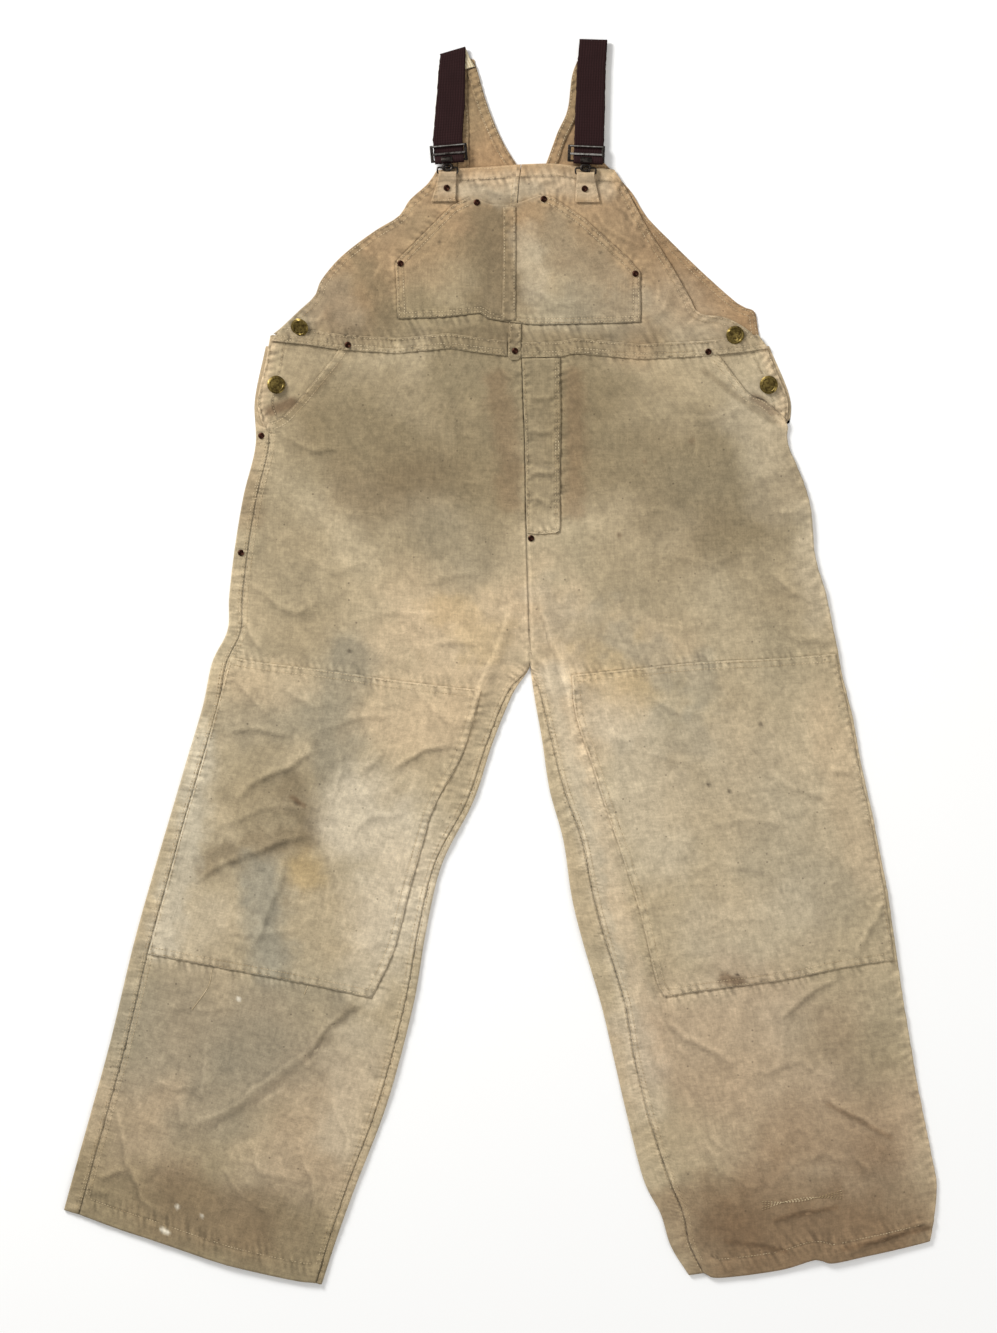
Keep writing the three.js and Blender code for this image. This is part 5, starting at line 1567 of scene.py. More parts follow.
    def front_with_fold(self, sheet: Sheet, finishes: Finishes) -> None:
        """Build a front leg whose outer edge turns under, as one sheet."""
        plan = sheet.plan
        shape, thickness, wear_and_shade, seam_shade_and_dirt = sheet.shaped()
        z = shape[..., 2]
        last, before = plan[:, -1], plan[:, -9]
        inward = (before - last) / np.linalg.norm(before - last, axis=1, keepdims=True)
        opened = self.opened(last)
        edge = last - inward * (z[:, -1] / 2 * opened)[:, None]
        roll = turned_edge(edge, inward, z[:, -1], opened, ROLL_STEPS)
        inset = np.linspace(0, UNDER_STRIP, 5)[1:][None, :] * opened[:, None] + 0.02
        strip = roll[:, -1:, :2] + inward[:, None] * inset[..., None]
        under = np.concatenate([strip, np.broadcast_to(roll[:, -1:, 2:], (*strip.shape[:2], 1))], axis=2)
        top = np.concatenate([shape, roll, under], axis=1)
        more = [(0, 0), (0, top.shape[1] - z.shape[1])]
        sheet.finish(finishes, top, *(np.pad(value, more, mode="edge") for value in (thickness, wear_and_shade, seam_shade_and_dirt)))

    def strip_face(self) -> Face:
        """The upper face of the strips of back leg beside the front leg."""
        seams = [self.felled(self.inner_seam, 1.2, 12, 0.5, 9)]
        if self.outer_laps_front:
            seams.append(self.felled(self.outer_seam, 1.2, 14, 0.5, 9))
        return Face(0.0, tuple(seams))

    def back(self, finishes: Finishes) -> Face:
        """Build the back leg as one sheet that comes round the edges, and give its strips' face."""
        face = self.strip_face()
        outer_open = self.outer_open if self.outer_laps_front else 0 * self.outer_open
        outer = self.wrap(face, self.outer_edge, self.across, self.outer_width, outer_open, 6)
        inner = self.wrap(
            face, self.inner_edge, -self.across, self.inner_width, self.inner_open,
            6 if self.side == "left" else 10,
        )
        outer, inner = outer[:, ::-1], inner[:, ::-1]
        if not self.outer_laps_front:
            outer[..., :2] += (self.across * (UNDER_STRIP + 1) * self.outer_open[:, None])[:, None]
        share = np.linspace(0, 1, 22)[None, 1:-1, None]
        floor = outer[:, -1:, :2] * (1 - share) + inner[:, -1:, :2] * share
        rise = 0.5 + 0.5 * WRINKLE.at(floor[..., 0], floor[..., 1], 80)
        ends = np.clip(np.minimum(share, 1 - share)[..., 0] * 8, 0, 1)
        ground = np.concatenate([floor, (0.9 * rise * ends)[..., None]], axis=2)
        top = np.concatenate([outer, ground, inner[:, ::-1]], axis=1)
        missing = (1 - top.shape[1]) % UNDER_STEP
        step = top[:, -1:] - top[:, -2:-1]
        top = np.concatenate([top, *(top[:, -1:] + 0.02 * k * step for k in range(1, missing + 1))], axis=1)
        if self.side == "right":
            top = top[:, ::-1]
        x, y = top[..., 0], top[..., 1]
        _, wear_and_shade, seam_shade_and_dirt = face.detail(x, y)
        on_top = top[..., 2] > 1.8
        wear_and_shade = np.where(on_top, wear_and_shade + 0.35, 0)
        name = f"back_leg_{self.side}"
        sheet = Sheet(name, (name,), top[..., :2], face, rests_on=("floor",))
        sheet.finish(finishes, top, np.full(x.shape, CLOTH), wear_and_shade, np.where(on_top, seam_shade_and_dirt, 0), faces_up=False)
        return face

    def wrap(
        self, face: Face, edge: Array, inward: Array, width: Array, opened: Array, strip_columns: int,
    ) -> Array:
        """The columns of a strip and its fold, from the strip's seam round to the floor, reversed."""
        probe = edge + inward * 2.2
        height = face.height(probe[:, 0], probe[:, 1])
        radius = height / 2 * opened
        share = np.linspace(1, 0, strip_columns)[None, :]
        wide = (width * opened)[:, None]
        depth = radius[:, None] + np.maximum(wide - radius[:, None] - 0.25, 0.02) * share
        depth = np.concatenate([wide + 1.4 * opened[:, None], wide + 0.3 * opened[:, None], depth], axis=1)
        plan = edge[:, None] + inward[:, None] * depth[..., None]
        z = face.height(plan[..., 0], plan[..., 1])
        z[:, :2] -= (1.3, 1.2)
        z[:, -1] = height
        z = z * opened[:, None]
        roll = turned_edge(edge, inward, height * opened, np.ones(len(edge)), ROLL_STEPS)
        strip = np.concatenate([plan, z[..., None]], axis=2)
        return np.concatenate([strip, roll], axis=1)[:, ::-1]

    def rows_of_stitches(self, front: Face, strip: Face) -> list[Row]:
        """The leg's own rows of stitches."""
        rows = []
        sign = 1 if self.side == "left" else -1
        inner = self.below(self.inner_seam, self.crotch - 12)
        rows += [Row(inner - self.across[-len(inner):] * d, front.height) for d in (1.6, 6.0)]
        rows.append(Row(inner + self.across[-len(inner):] * 2.0, strip.height))
        if self.outer_laps_front:
            outer = self.below(self.outer_seam, self.mouth_end - 5)
            rows += [Row(outer - self.across[-len(outer):] * d, strip.height) for d in (1.8, 4.6)]
            rows += [Row(outer + self.across[-len(outer):] * d, front.height) for d in (1.8, 5.8)]
        hem = beside(self.foot_line(), self.hem)
        rows.append(Row(hem[1:-1], lambda x, y: front.height(x, y) + 0.3))
        mouth = evenly(self.mouth, 60)
        rows += [Row(beside(mouth, sign * d)[3:-1], front.height) for d in (2.2, 8.6)]
        return rows + (self.loose_threads(front) if self.side == "left" else self.darning(front))

    def loose_threads(self, front: Face) -> list[Row]:
        """Lay the thread ends that have come out under the left knee."""
        ends = (((-340, -361), (-345, -382), (-364, -409)), ((-227, -380), (-232, -392)))
        return [
            Row(evenly(end, 40), lambda x, y: front.height(x, y) + 0.25, pitch=1.3, length=2.0)
            for end in ends
        ]

    def darning(self, front: Face) -> list[Row]:
        """Sew the darning over a worn place above the right hem."""
        lines = (((307, -640 + k), (352, -633 - k / 3), (405, -626 + k)) for k in (-5, -2, 2, 5))
        return [
            Row(evenly(line, 40), lambda x, y: front.height(x, y) + 0.5, pitch=3.6, length=2.4, width=0.8)
            for line in lines
        ]


# ---------------------------------------------------------------- patches, bib and back


@dataclass
class Patch:
    """A piece of cloth between four edges, sewn down by rows of stitches along some of them."""

    name: str
    left: Points | Array
    right: Points | Array
    top: Points | Array
    bottom: Points | Array
    sewn: dict[str, tuple[float, ...]]
    layer: float = LAYER
    depth: float = 0.5
    reach: float = 8.0
    pitch: float = 8.5
    step: float = MESH_STEP
    bulk: float = 0.12
    groove: float = 0.06
    tone: Tone = Tone.FADED
    slot: str = "duck"
    rests_on: tuple[str, ...] = ()
    floor: float | None = None
    hem: float = 0.0
    more: tuple[Seam, ...] = ()
    smooth: bool = True

    def inset(self, edge: str, distance: float) -> Array:
        """An edge of the piece moved into it by a distance."""
        line = evenly(getattr(self, edge), 80, self.smooth)
        return beside(line, distance if edge in ("left", "bottom") else -distance)

    def build(self, finishes: Finishes) -> list[Row]:
        """Build the piece.

        Args:
            finishes: the finishes to take the cloth's from.

        Returns:
            Its rows of stitches.
        """
        left, right, top, bottom = (
            np.asarray(getattr(self, e), float)
            for e in ("left", "right", "top", "bottom")
        )
        rows = grid_count(max(travelled(left)[-1], travelled(right)[-1]), self.step)
        columns = grid_count(max(travelled(top)[-1], travelled(bottom)[-1]), self.step)
        sides = [evenly(line, rows, self.smooth) for line in (left, right)]
        ends = [evenly(line, columns, self.smooth) for line in (top, bottom)]
        ends[0][[0, -1]] = sides[0][0], sides[1][0]
        ends[1][[0, -1]] = sides[0][-1], sides[1][-1]
        seams = [
            Seam(
                self.inset(edge, distances[0]), self.depth, self.reach, self.pitch, bulk=self.bulk,
                bulk_width=distances[-1] + 1,
            )
            for edge, distances in self.sewn.items()
        ]
        # each row of stitches gets a groove painted darker: painted shade, with some dirt
        seams += [
            Seam(self.inset(edge, d), 0.0, 3, groove=self.groove)
            for edge, distances in self.sewn.items()
            for d in distances
        ]
        face = Face(self.layer, (*seams, *self.more), self.floor, 0.35 if self.floor else 0.0)
        hem_at_top = self.name.startswith("front_bib")
        sheet = Sheet(
            self.name, (self.name,), coons(*sides, *ends), face, self.tone, self.slot, self.rests_on,
            self.hem, hem_at_top,
        )
        sheet.build(finishes)
        return [
            Row(self.inset(edge, d)[1:-1], face.height)
            for edge, distances in self.sewn.items()
            for d in distances
        ]


def shifted(points: Points | Array, x: float, y: float = 0.0) -> Array:
    """A line moved in plan."""
    return np.asarray(points, float) + (x, y)


def joined(*parts: Points | Array) -> Array:
    """Several lines, end to end, as one."""
    return np.concatenate([np.asarray(part, float) for part in parts])


@dataclass
class Fronts:
    """What is sewn on the fronts of the legs: knees, fly and the hip facings under the pocket mouths."""

    knee_rows: tuple[float, float] = (2.0, 8.5)

    def knees(self, finishes: Finishes) -> list[Row]:
        """Build the second layer on each knee."""
        both = self.knee_rows
        sewn = {"top": both, "bottom": both, "right": both, "left": (1.8,)}
        left = Patch(
            "knee_left", KNEE_LEFT_OUTER, KNEE_LEFT_INNER, KNEE_LEFT_TOP, KNEE_LEFT_FOOT, sewn,
            rests_on=("front_leg_left",),
        )
        sewn = {"top": both, "bottom": both, "left": both, "right": (2.0,)}
        right = Patch(
            "knee_right", KNEE_RIGHT_INNER, KNEE_RIGHT_OUTER, KNEE_RIGHT_TOP, KNEE_RIGHT_FOOT, sewn,
            rests_on=("front_leg_right",),
        )
        return left.build(finishes) + right.build(finishes)

    def fly(self, finishes: Finishes) -> list[Row]:
        """Build the fly's flap, which is sewn shut."""
        rests = ("front_leg_right",)
        foot = ((31.5, 153), (48, 152), (66, 154))
        top = waist_line(-1, FLY_LEFT[0][0], FLY_RIGHT[0][0])
        flap = Patch(
            "fly", FLY_LEFT, FLY_RIGHT, top, foot, {"left": (2.4,), "right": (2.2, 5.4), "bottom": (2.5,)},
            step=1.8, reach=6, bulk=0.2, groove=0.16, rests_on=rests,
        )
        return flap.build(finishes)

    def facings(self, finishes: Finishes) -> list[Row]:
        """Build the hip facings that show inside the pocket mouths."""
        common = dict(
            layer=-LAYER, step=2.2, tone=Tone.FADED, slot="duck_inside", depth=0.8, reach=11, groove=0.24,
        )
        left = Patch(
            "hip_facing_left", ((-271.5, 386), (-278, 350), (-286.5, 312), (-285, 296), (-281, 284)),
            ((-168, 378), (-180, 340), (-222, 300), (-262, 268)), waist_line(7.5, -271.5, -168),
            ((-281, 284), (-275, 270), (-262, 268)), {"left": (2.5, 18.0)}, rests_on=("back_leg_left",),
            **common,
        )
        right = Patch(
            "hip_facing_right", ((236, 368), (238, 340), (284, 300), (312, 282), (330, 272)),
            ((311, 378), (325, 345), (338.5, 311), (338, 287)), waist_line(7.5, 236, 311),
            ((330, 272), (336, 278), (338, 287)), {"right": (2.5, 17.0)}, rests_on=("back_leg_right",),
            **common,
        )
        return left.build(finishes) + right.build(finishes)


@dataclass
class Bib:
    """The front bib: two panels felled down the centre, two slanted pockets and the strip between them."""

    hem: float = BIB_HEM
    felled: float = 8.0
    pocket_rows: tuple[float, float] = (2.2, 8.4)

    def panels(self, finishes: Finishes) -> list[Row]:
        """Build the two panels with their hems."""
        centre = array(BIB_SEAM)
        across = array(BIB_LEFT_TOP + BIB_RIGHT_TOP[1:])
        hem_seam = Seam(evenly(shifted(across, 0, -self.hem), 80), 0.5, 8, 8, groove=0.3)
        fell = Seam(
            evenly(shifted(centre, -self.felled / 2), 60), 0.45, 8, 8, bulk=0.5,
            bulk_width=self.felled / 2 + 1,
        )
        # lines of painted shade on the panels along the pockets' edges, under them
        under_pockets = [
            Seam(evenly(line, 60, False), 0.35, 8, 8, groove=0.26)
            for line in (POCKET_LEFT_SIDE, POCKET_RIGHT_SIDE, POCKET_LEFT_FOOT, POCKET_RIGHT_FOOT)
        ]
        waist = Seam(waist_line(BAND, -268, 312), 0.6, 14, 9)
        gathers = Seam(evenly(((126, 580), (140, 560), (166, 516)), 40), 0.9, 13, 11, skew=0.8)
        more = (hem_seam, fell, waist, gathers, *under_pockets)
        rise = LAP + 0.6
        left_foot, right_foot = waist_line(rise, -268, 22), waist_line(rise, 23, 306)
        left = Patch(
            "front_bib_left", joined(BIB_LEFT_SIDE[:-1], left_foot[:1]), joined(centre[:-1], left_foot[-1:]),
            BIB_LEFT_TOP, left_foot, {"left": (2.2, 8.0)}, layer=0.0, hem=self.hem,
            rests_on=("back_bib_left",), more=more,
        )
        right = Patch(
            "front_bib_right", joined(shifted(centre, 0.8)[:-1], right_foot[:1]),
            joined(BIB_RIGHT_SIDE[:-1], right_foot[-1:]),
            BIB_RIGHT_TOP, right_foot, {"right": (2.2, 8.0)}, layer=0.0, hem=self.hem,
            rests_on=("back_bib_right",), more=more,
        )
        rows = left.build(finishes) + right.build(finishes)
        face = Face(0.0, more)
        rows += [Row(shifted(evenly(centre, 90), -d)[4:-12], face.height) for d in (1.6, self.felled - 0.6)]
        rows += [
            Row(shifted(evenly(across, 90), 0, -d)[1:-1], lambda x, y: face.height(x, y) + 0.5)
            for d in (2.0, self.hem - 1)
        ]
        return rows

    def pockets(self, finishes: Finishes) -> list[Row]:
        """Build the pockets and the narrow strip between them."""
        mouth = {"left": self.pocket_rows, "bottom": (2.0, 6.5)}
        common = dict(step=2.2, smooth=False, reach=7, groove=0.17)
        left = Patch(
            "chest_pocket_left", POCKET_LEFT_SIDE, ((10, 540), (10, 402)), POCKET_LEFT_TOP, POCKET_LEFT_FOOT,
            mouth, rests_on=("front_bib_left",), **common,
        )
        mouth = {"right": self.pocket_rows, "bottom": (2.0, 6.5)}
        right = Patch(
            "chest_pocket_right", ((10.6, 540), (10.6, 402)), POCKET_RIGHT_SIDE, POCKET_RIGHT_TOP,
            POCKET_RIGHT_FOOT,
            mouth, rests_on=("front_bib_left", "front_bib_right"), **common,
        )
        strip = Patch(
            "pencil_strip", ((3, 538), (2, 404)), ((18, 538), (18, 404)), ((3, 538), (18, 538)),
            ((2, 404), (18, 404)),
            {"left": (2.0,), "right": (2.0,)}, layer=2 * LAYER - 0.25, step=1.6, reach=5, bulk=0.0, depth=0.3,
            rests_on=("chest_pocket_left", "chest_pocket_right"),
        )
        return left.build(finishes) + right.build(finishes) + strip.build(finishes)


@dataclass
class Waist:
    """The waistband in two halves, and the loop of cloth over their join."""

    rows: tuple[float, float] = (2.4, 6.4)

    def half(self, side: str, start: float, end: float, finishes: Finishes) -> list[Row]:
        """Build one half of the waistband between two places across the garment."""
        from_left, from_right = (15, 0) if side == "left" else (0, -12)
        low = waist_line(0, start, end)
        high = waist_line(BAND, start + from_left, end + from_right)
        band = Patch(
            f"waistband_{side}", (high[0], low[0]), (high[-1], low[-1]), high, low,
            {"bottom": self.rows, "top": (2.4,)},
            depth=1.0, reach=9, pitch=6.5, step=1.7, bulk=0.25, groove=0.16,
            rests_on=(f"front_leg_{side}", f"front_bib_{side}"),
        )
        return band.build(finishes)

    def tab(self, finishes: Finishes) -> list[Row]:
        """Build the loop over the join of the halves."""
        loop = Patch(
            "waist_tab", ((11, 400), (9, 385), (8.6, 362)), ((24, 400), (24, 380), (24, 361)),
            ((11, 400), (24, 400)),
            ((8.6, 362), (12, 357), (21, 357), (24, 361)), {"left": (2.2,), "right": (2.2,)},
            step=1.3, reach=5, bulk=0.3, rests_on=("front_bib_left",), smooth=False,
        )
        return loop.build(finishes)

    def build(self, finishes: Finishes) -> list[Row]:
        """Build the whole waist."""
        return self.half("left", -271, 8, finishes) + self.half(
            "right", 24.6, 316, finishes,
        ) + self.tab(finishes)


@dataclass
class Back:
    """The high back, whose wrong side shows between the straps, with facings along its edges."""

    facing: float = 12.0
    facing_foot: float = 570.0
    facing_top: float = 705.0

    def halves(self, finishes: Finishes) -> list[Row]:
        """Build the two halves of the back."""
        common = dict(
            floor=CLOTH, tone=Tone.LINING, slot="duck_inside", step=3.0, bulk=0.0, depth=0.25,
            rests_on=("floor",),
        )
        foot = waist_line(LAP + GAP, -266, 24)
        arm_seam = Seam(
            array(((-39, 700), (-39, 640), (-37, 588))), 0.4, 7, 8, bulk=0.3, bulk_width=3, groove=0.3,
        )
        left = Patch(
            "back_bib_left", joined(BACK_LEFT_ARM[:-1], shifted(BIB_LEFT_SIDE, 3)[1:-1], foot[:1]),
            joined(BACK_V_LEFT, BACK_SEAM[1:-1], foot[-1:]), (BACK_LEFT_ARM[0], BACK_V_LEFT[0]), foot,
            {"right": (5.0,)},
            more=(arm_seam,), **common,
        )
        foot = waist_line(LAP + GAP, 24.8, 306)
        right = Patch(
            "back_bib_right", joined(shifted(BACK_V_RIGHT + BACK_SEAM[1:-1], 0.6), foot[:1]),
            joined(BACK_RIGHT_ARM, BACK_RIGHT_SIDE[:-1], foot[-1:]), (BACK_V_RIGHT[0], BACK_RIGHT_ARM[0]),
            foot,
            {"left": (5.0,), "right": (2.5, 8.0)}, **{**common, "tone": Tone.TAN, "depth": 0.7},
        )
        left.build(finishes)
        return right.build(finishes)[-2:]

    def facings(self, finishes: Finishes) -> list[Row]:
        """Build the facings along the V and beside the left arm."""
        common = dict(
            floor=2 * CLOTH + GAP, tone=Tone.LINING, slot="duck_inside", step=1.5, reach=7, depth=0.5,
            bulk=0.2, groove=0.22,
        )
        rows = []
        for side, edge, sign in (("left", BACK_V_LEFT, -1), ("right", BACK_V_RIGHT, 1)):
            line = evenly(edge, 120)
            line = line[(line[:, 1] > self.facing_foot) & (line[:, 1] < self.facing_top)]
            within = shifted(line, sign * 0.9 * self.facing, -0.42 * self.facing)
            left, right = (within, line) if side == "left" else (line, within)
            strip = Patch(
                f"back_facing_{side}", left, right, (left[0], right[0]), (left[-1], right[-1]),
                {"left": (1.8,), "right": (1.8,)}, rests_on=(f"back_bib_{side}",), **common,
            )
            rows += strip.build(finishes)
        strip = Patch(
            "back_side_facing", ((-57, 668), (-51, 600), (-50, 574)),
            ((-44, 668), (-38, 650), (-38, 600), (-36, 574)),
            ((-57, 668), (-44, 668)), ((-50, 574), (-36, 574)), {"right": (1.8,)},
            rests_on=("back_bib_left",), **common,
        )
        return rows + strip.build(finishes)


# ---------------------------------------------------------------- straps, tabs and hardware

BAR = 1.25
WEB = 1.8
RUN = 5.9  # height of the middle of the webbing's upper run
WRAP = BAR + GAP + WEB / 2
PLANE = RUN + WRAP  # height of the adjuster
RETURN = RUN - WEB - 0.5
ADJUSTER_TOP, ADJUSTER_MIDDLE, ADJUSTER_FOOT, ADJUSTER_HALF = 7.6, -1.8, -10.0, 20.5
FRAME_THICK = 2.2
EYE_DROP, RING_DROP, RING_HEIGHT, RING_HALF = -18.0, 7.0, 8.9, 12.0
TILT_HEIGHT = 3.2  # a tack button tilts about this height of its shank


def deselect() -> None:
    """Leave edit mode and select nothing."""
    if bpy.context.object and bpy.context.object.mode != "OBJECT":
        bpy.ops.object.mode_set(mode="OBJECT")
    bpy.ops.object.select_all(action="DESELECT")


def pick(mode: str, test: Callable[[Vector], bool]) -> None:
    """Select, in edit mode, the points or faces whose place passes a test.

    Args:
        mode: VERT or FACE.
        test: the test of a point's place or a face's middle, in metres.
    """
    bpy.ops.mesh.select_mode(type=mode)
    bpy.ops.mesh.select_all(action="DESELECT")
    shape = bmesh.from_edit_mesh(bpy.context.object.data)
    for part in shape.verts if mode == "VERT" else shape.faces:
        part.select_set(test(part.co if mode == "VERT" else part.calc_center_median()))
    shape.select_flush_mode()
    bmesh.update_edit_mesh(bpy.context.object.data)


def apply_modifier(piece: bpy.types.Object, kind: str, **settings: object) -> None:
    """Add a modifier to a piece and apply it."""
    modifier = piece.modifiers.new(kind.lower(), kind)
    for name, value in settings.items():
        setattr(modifier, name, value)
    deselect()
    piece.select_set(True)
    bpy.context.view_layer.objects.active = piece
    bpy.ops.object.modifier_apply(modifier=modifier.name)


def settle(
    piece: bpy.types.Object, place: Matrix, name: str, material: bpy.types.Material, node: str,
) -> None:
    """Args:
        piece: the modelled piece.
        place: where it belongs.
        name: its name.
        material: its finish.
        node: the node that it stands for, or nothing.
    """
    piece.data.transform(place @ piece.matrix_basis)
    piece.matrix_basis = Matrix.Identity(4)
    piece.name = piece.data.name = name
    if not piece.data.materials:
        piece.data.materials.append(material)
    piece.data.shade_smooth()
    deselect()
    piece.select_set(True)
    bpy.context.view_layer.objects.active = piece
    bpy.ops.object.shade_smooth_by_angle(angle=math.radians(40))
    finish_piece(piece, (node,) if node else ())


def copy_of(piece: bpy.types.Object) -> bpy.types.Object:
    """A copy of a piece with its own mesh."""
    twin = bpy.data.objects.new(piece.name, piece.data.copy())
    bpy.context.scene.collection.objects.link(twin)
    return twin


def ring(major: float, wire: float, half_width: float, half_length: float) -> bpy.types.Object:
    """A wire ring, drawn out to a rounded oblong.

    Args:
        major: the radius of its corners.
        wire: the radius of its wire.
        half_width, half_length: half its size in x and y to the middle of the wire.

    Returns:
        The ring at the origin.
    """
    deselect()
    bpy.ops.mesh.primitive_torus_add(
        major_segments=24, minor_segments=10, major_radius=major * MM, minor_radius=wire * MM,
    )
    made = bpy.context.object
    bpy.ops.object.mode_set(mode="EDIT")
    for axis, reach in ((0, half_width - major), (1, half_length - major)):
        for sign in (-1, 1):
            pick("VERT", lambda co: co[axis] * sign > 1e-6)
            move = [0.0, 0.0, 0.0]
            move[axis] = sign * reach * MM
            bpy.ops.transform.translate(value=move)
    bpy.ops.object.mode_set(mode="OBJECT")
    return made


@dataclass
class Strap:
    """An elastic strap with its slide adjuster, hook, ring and cloth tab."""

    side: str
    at: tuple[float, float]
    turn: float
    front: Points
    fold: tuple[float, float, float, float]
    back: Points
    hook_x: float
    drift: float = 0.0
    flare: float = -5.0
    dull: bool = True
    half: float = 17.5
    top_run: float = 5.7
    under_run: float = 3.5

    def __post_init__(self) -> None:
        """Work out where the adjuster and the tab's ring are."""
        self.frame = Matrix.Translation((self.at[0] * MM, self.at[1] * MM, 0)) @ Matrix.Rotation(
            self.turn, 4, "Z",
        )
        self.eye = self.local(self.hook_x, EYE_DROP)

    def local(self, x: float, y: float) -> tuple[float, float]:
        """A place on the adjuster in the garment's plan."""
        c, s = math.cos(self.turn), math.sin(self.turn)
        return self.at[0] + x * c - y * s, self.at[1] + x * s + y * c

    def stations(self) -> list[tuple[float, ...]]:
        """The webbing's left edge, right edge and height along its whole length."""

        def level(y: float, z: float) -> tuple[float, ...]:
            """A station across the adjuster."""
            half = self.half - (1.8 if z < RUN - 0.8 and y > ADJUSTER_FOOT else 0)
            return (*self.local(self.drift - half, y), *self.local(self.drift + half, y), z)

        turns = [math.radians(a) for a in (-90, -110, -130, -155, 180, 155, 130, 110, 90)]
        wrap = [level(ADJUSTER_FOOT + WRAP * math.cos(a), PLANE + WRAP * math.sin(a)) for a in turns]
        lower = [level(24, RETURN), level(14, RETURN), level(-3, RETURN), level(-7.3, RETURN + 0.6), *wrap]
        lower += [
            level(-7.5, RUN + 4.2), level(-5.2, RUN + 2.45), level(-3, RUN + 0.7), level(-0.5, RUN),
            level(16, RUN),
        ]
        ax, ay, bx, by = self.fold
        length = math.hypot(bx - ax, by - ay)
        ox, oy = -(by - ay) / length, (bx - ax) / length
        radius, middle = (self.top_run - self.under_run) / 2, (self.top_run + self.under_run) / 2
        over = []
        for angle in (90, 60, 30, 0, -30, -60, -90):
            reach, rise = radius * math.cos(math.radians(angle)), radius * math.sin(math.radians(angle))
            over.append((ax + ox * reach, ay + oy * reach, bx + ox * reach, by + oy * reach, middle + rise))
        return [
            *lower, *((*s, self.top_run) for s in self.front), *over,
            *((*s, self.under_run) for s in self.back),
        ]

    def webbing(self, finishes: Finishes) -> None:
        """Build the strap, brown outside and cream inside."""
        stations = np.array(self.stations())
        middle = np.stack(
            [(stations[:, 0] + stations[:, 2]) / 2, (stations[:, 1] + stations[:, 3]) / 2, stations[:, 4]],
            axis=1,
        )
        place = travelled(middle)
        fine = np.unique(np.concatenate([place, np.arange(0, place[-1], 2.5)]))
        edges = np.stack([np.interp(fine, place, stations[:, k]) for k in range(5)], axis=1)
        share = np.linspace(0, 1, 15)[None, :]
        wobble = 0.35 * WRINKLE.at(fine, 5 * fine, 19)
        x = edges[:, 0:1] * (1 - share) + edges[:, 2:3] * share
        x = x + (2 * share - 1) * wobble[:, None]
        y = edges[:, 1:2] * (1 - share) + edges[:, 3:4] * share
        z = np.broadcast_to(edges[:, 4:5], x.shape)
        centre = np.stack([x, y, z], axis=2)
        normal = np.cross(np.gradient(centre, axis=1), np.gradient(centre, axis=0))
        normal /= np.linalg.norm(normal, axis=2, keepdims=True)
        wave = 0.22 * WRINKLE.at(np.broadcast_to(fine[:, None], x.shape), 40 * share + 7, 16)
        top = centre + normal * (WEB / 2 + wave[..., None])
        name = f"strap_{self.side}"
        mesh = wall_mesh(name, top, np.full(x.shape, WEB), faces_up=False, under_step=1)
        colour_points(mesh, np.ones((*x.shape, 4)), under_step=1)
        piece = show(name, mesh, [finishes.webbing, finishes.backing])
        count = (x.shape[0] - 1) * (x.shape[1] - 1)
        inner = np.zeros(len(mesh.polygons), np.int32)
        inner[count : 2 * count] = 1
        mesh.polygons.foreach_set("material_index", inner)
        finish_piece(piece, (name,))

    def adjuster(self, finishes: Finishes) -> None:
        """Model the slide adjuster: a stamped frame with two windows, and rollers on its two upper bars."""
        deselect()
        bpy.ops.mesh.primitive_grid_add(x_subdivisions=3, y_subdivisions=5, size=2 * MM)
        made = bpy.context.object
        bpy.ops.object.mode_set(mode="EDIT")
        for sign in (-1, 1):
            pick("VERT", lambda co: co.x * sign > 0.9 * MM)
            bpy.ops.transform.translate(value=(sign * (ADJUSTER_HALF + 0.4) * MM, 0, 0))
            pick("VERT", lambda co: 0 < co.x * sign < 0.9 * MM)
            bpy.ops.transform.translate(value=(sign * (ADJUSTER_HALF - 2.7) * MM, 0, 0))
        levels = tuple(
            y + side
            for y in (ADJUSTER_FOOT, ADJUSTER_MIDDLE, ADJUSTER_TOP)
            for side in (-BAR, BAR)
        )
        starts = [-1 + 0.4 * k for k in range(6)]
        for k in (5, 4, 0, 1, 3, 2):
            pick("VERT", lambda co: abs(co.y - starts[k] * MM) < 0.02 * MM)
            bpy.ops.transform.translate(value=(0, (levels[k] - starts[k]) * MM, 0))
        pick(
            "FACE",
            lambda co: abs(co.x) < 1 * MM and any(
                low < co.y / MM < high
                for low, high in (levels[1:3], levels[3:5])
            ),
        )
        bpy.ops.mesh.delete(type="FACE")
        bpy.ops.object.mode_set(mode="OBJECT")
        apply_modifier(made, "SOLIDIFY", thickness=FRAME_THICK * MM, offset=0)
        apply_modifier(made, "BEVEL", width=0.65 * MM, segments=3, limit_method="ANGLE")
        lift = Matrix.Translation((0, 0, PLANE * MM))
        settle(
            made, self.frame @ lift, f"adjuster_{self.side}", finishes.dark_steel, f"adjuster_{self.side}",
        )
        for y, radius, half in (
            (ADJUSTER_MIDDLE, 1.5, ADJUSTER_HALF - 1.8), (ADJUSTER_TOP, 0.8, ADJUSTER_HALF - 1.0),
        ):
            deselect()
            bpy.ops.mesh.primitive_cylinder_add(
                vertices=14, radius=radius * MM, depth=2 * half * MM, rotation=(0, math.pi / 2, 0),
            )
            roller = bpy.context.object
            bpy.ops.object.mode_set(mode="EDIT")
            pick("FACE", lambda co: abs(co.z) > 0.99 * half * MM)
            bpy.ops.mesh.inset(thickness=0.35 * MM, depth=0.3 * MM)
            bpy.ops.mesh.inset(thickness=0.3 * MM, depth=0.1 * MM)
            bpy.ops.object.mode_set(mode="OBJECT")
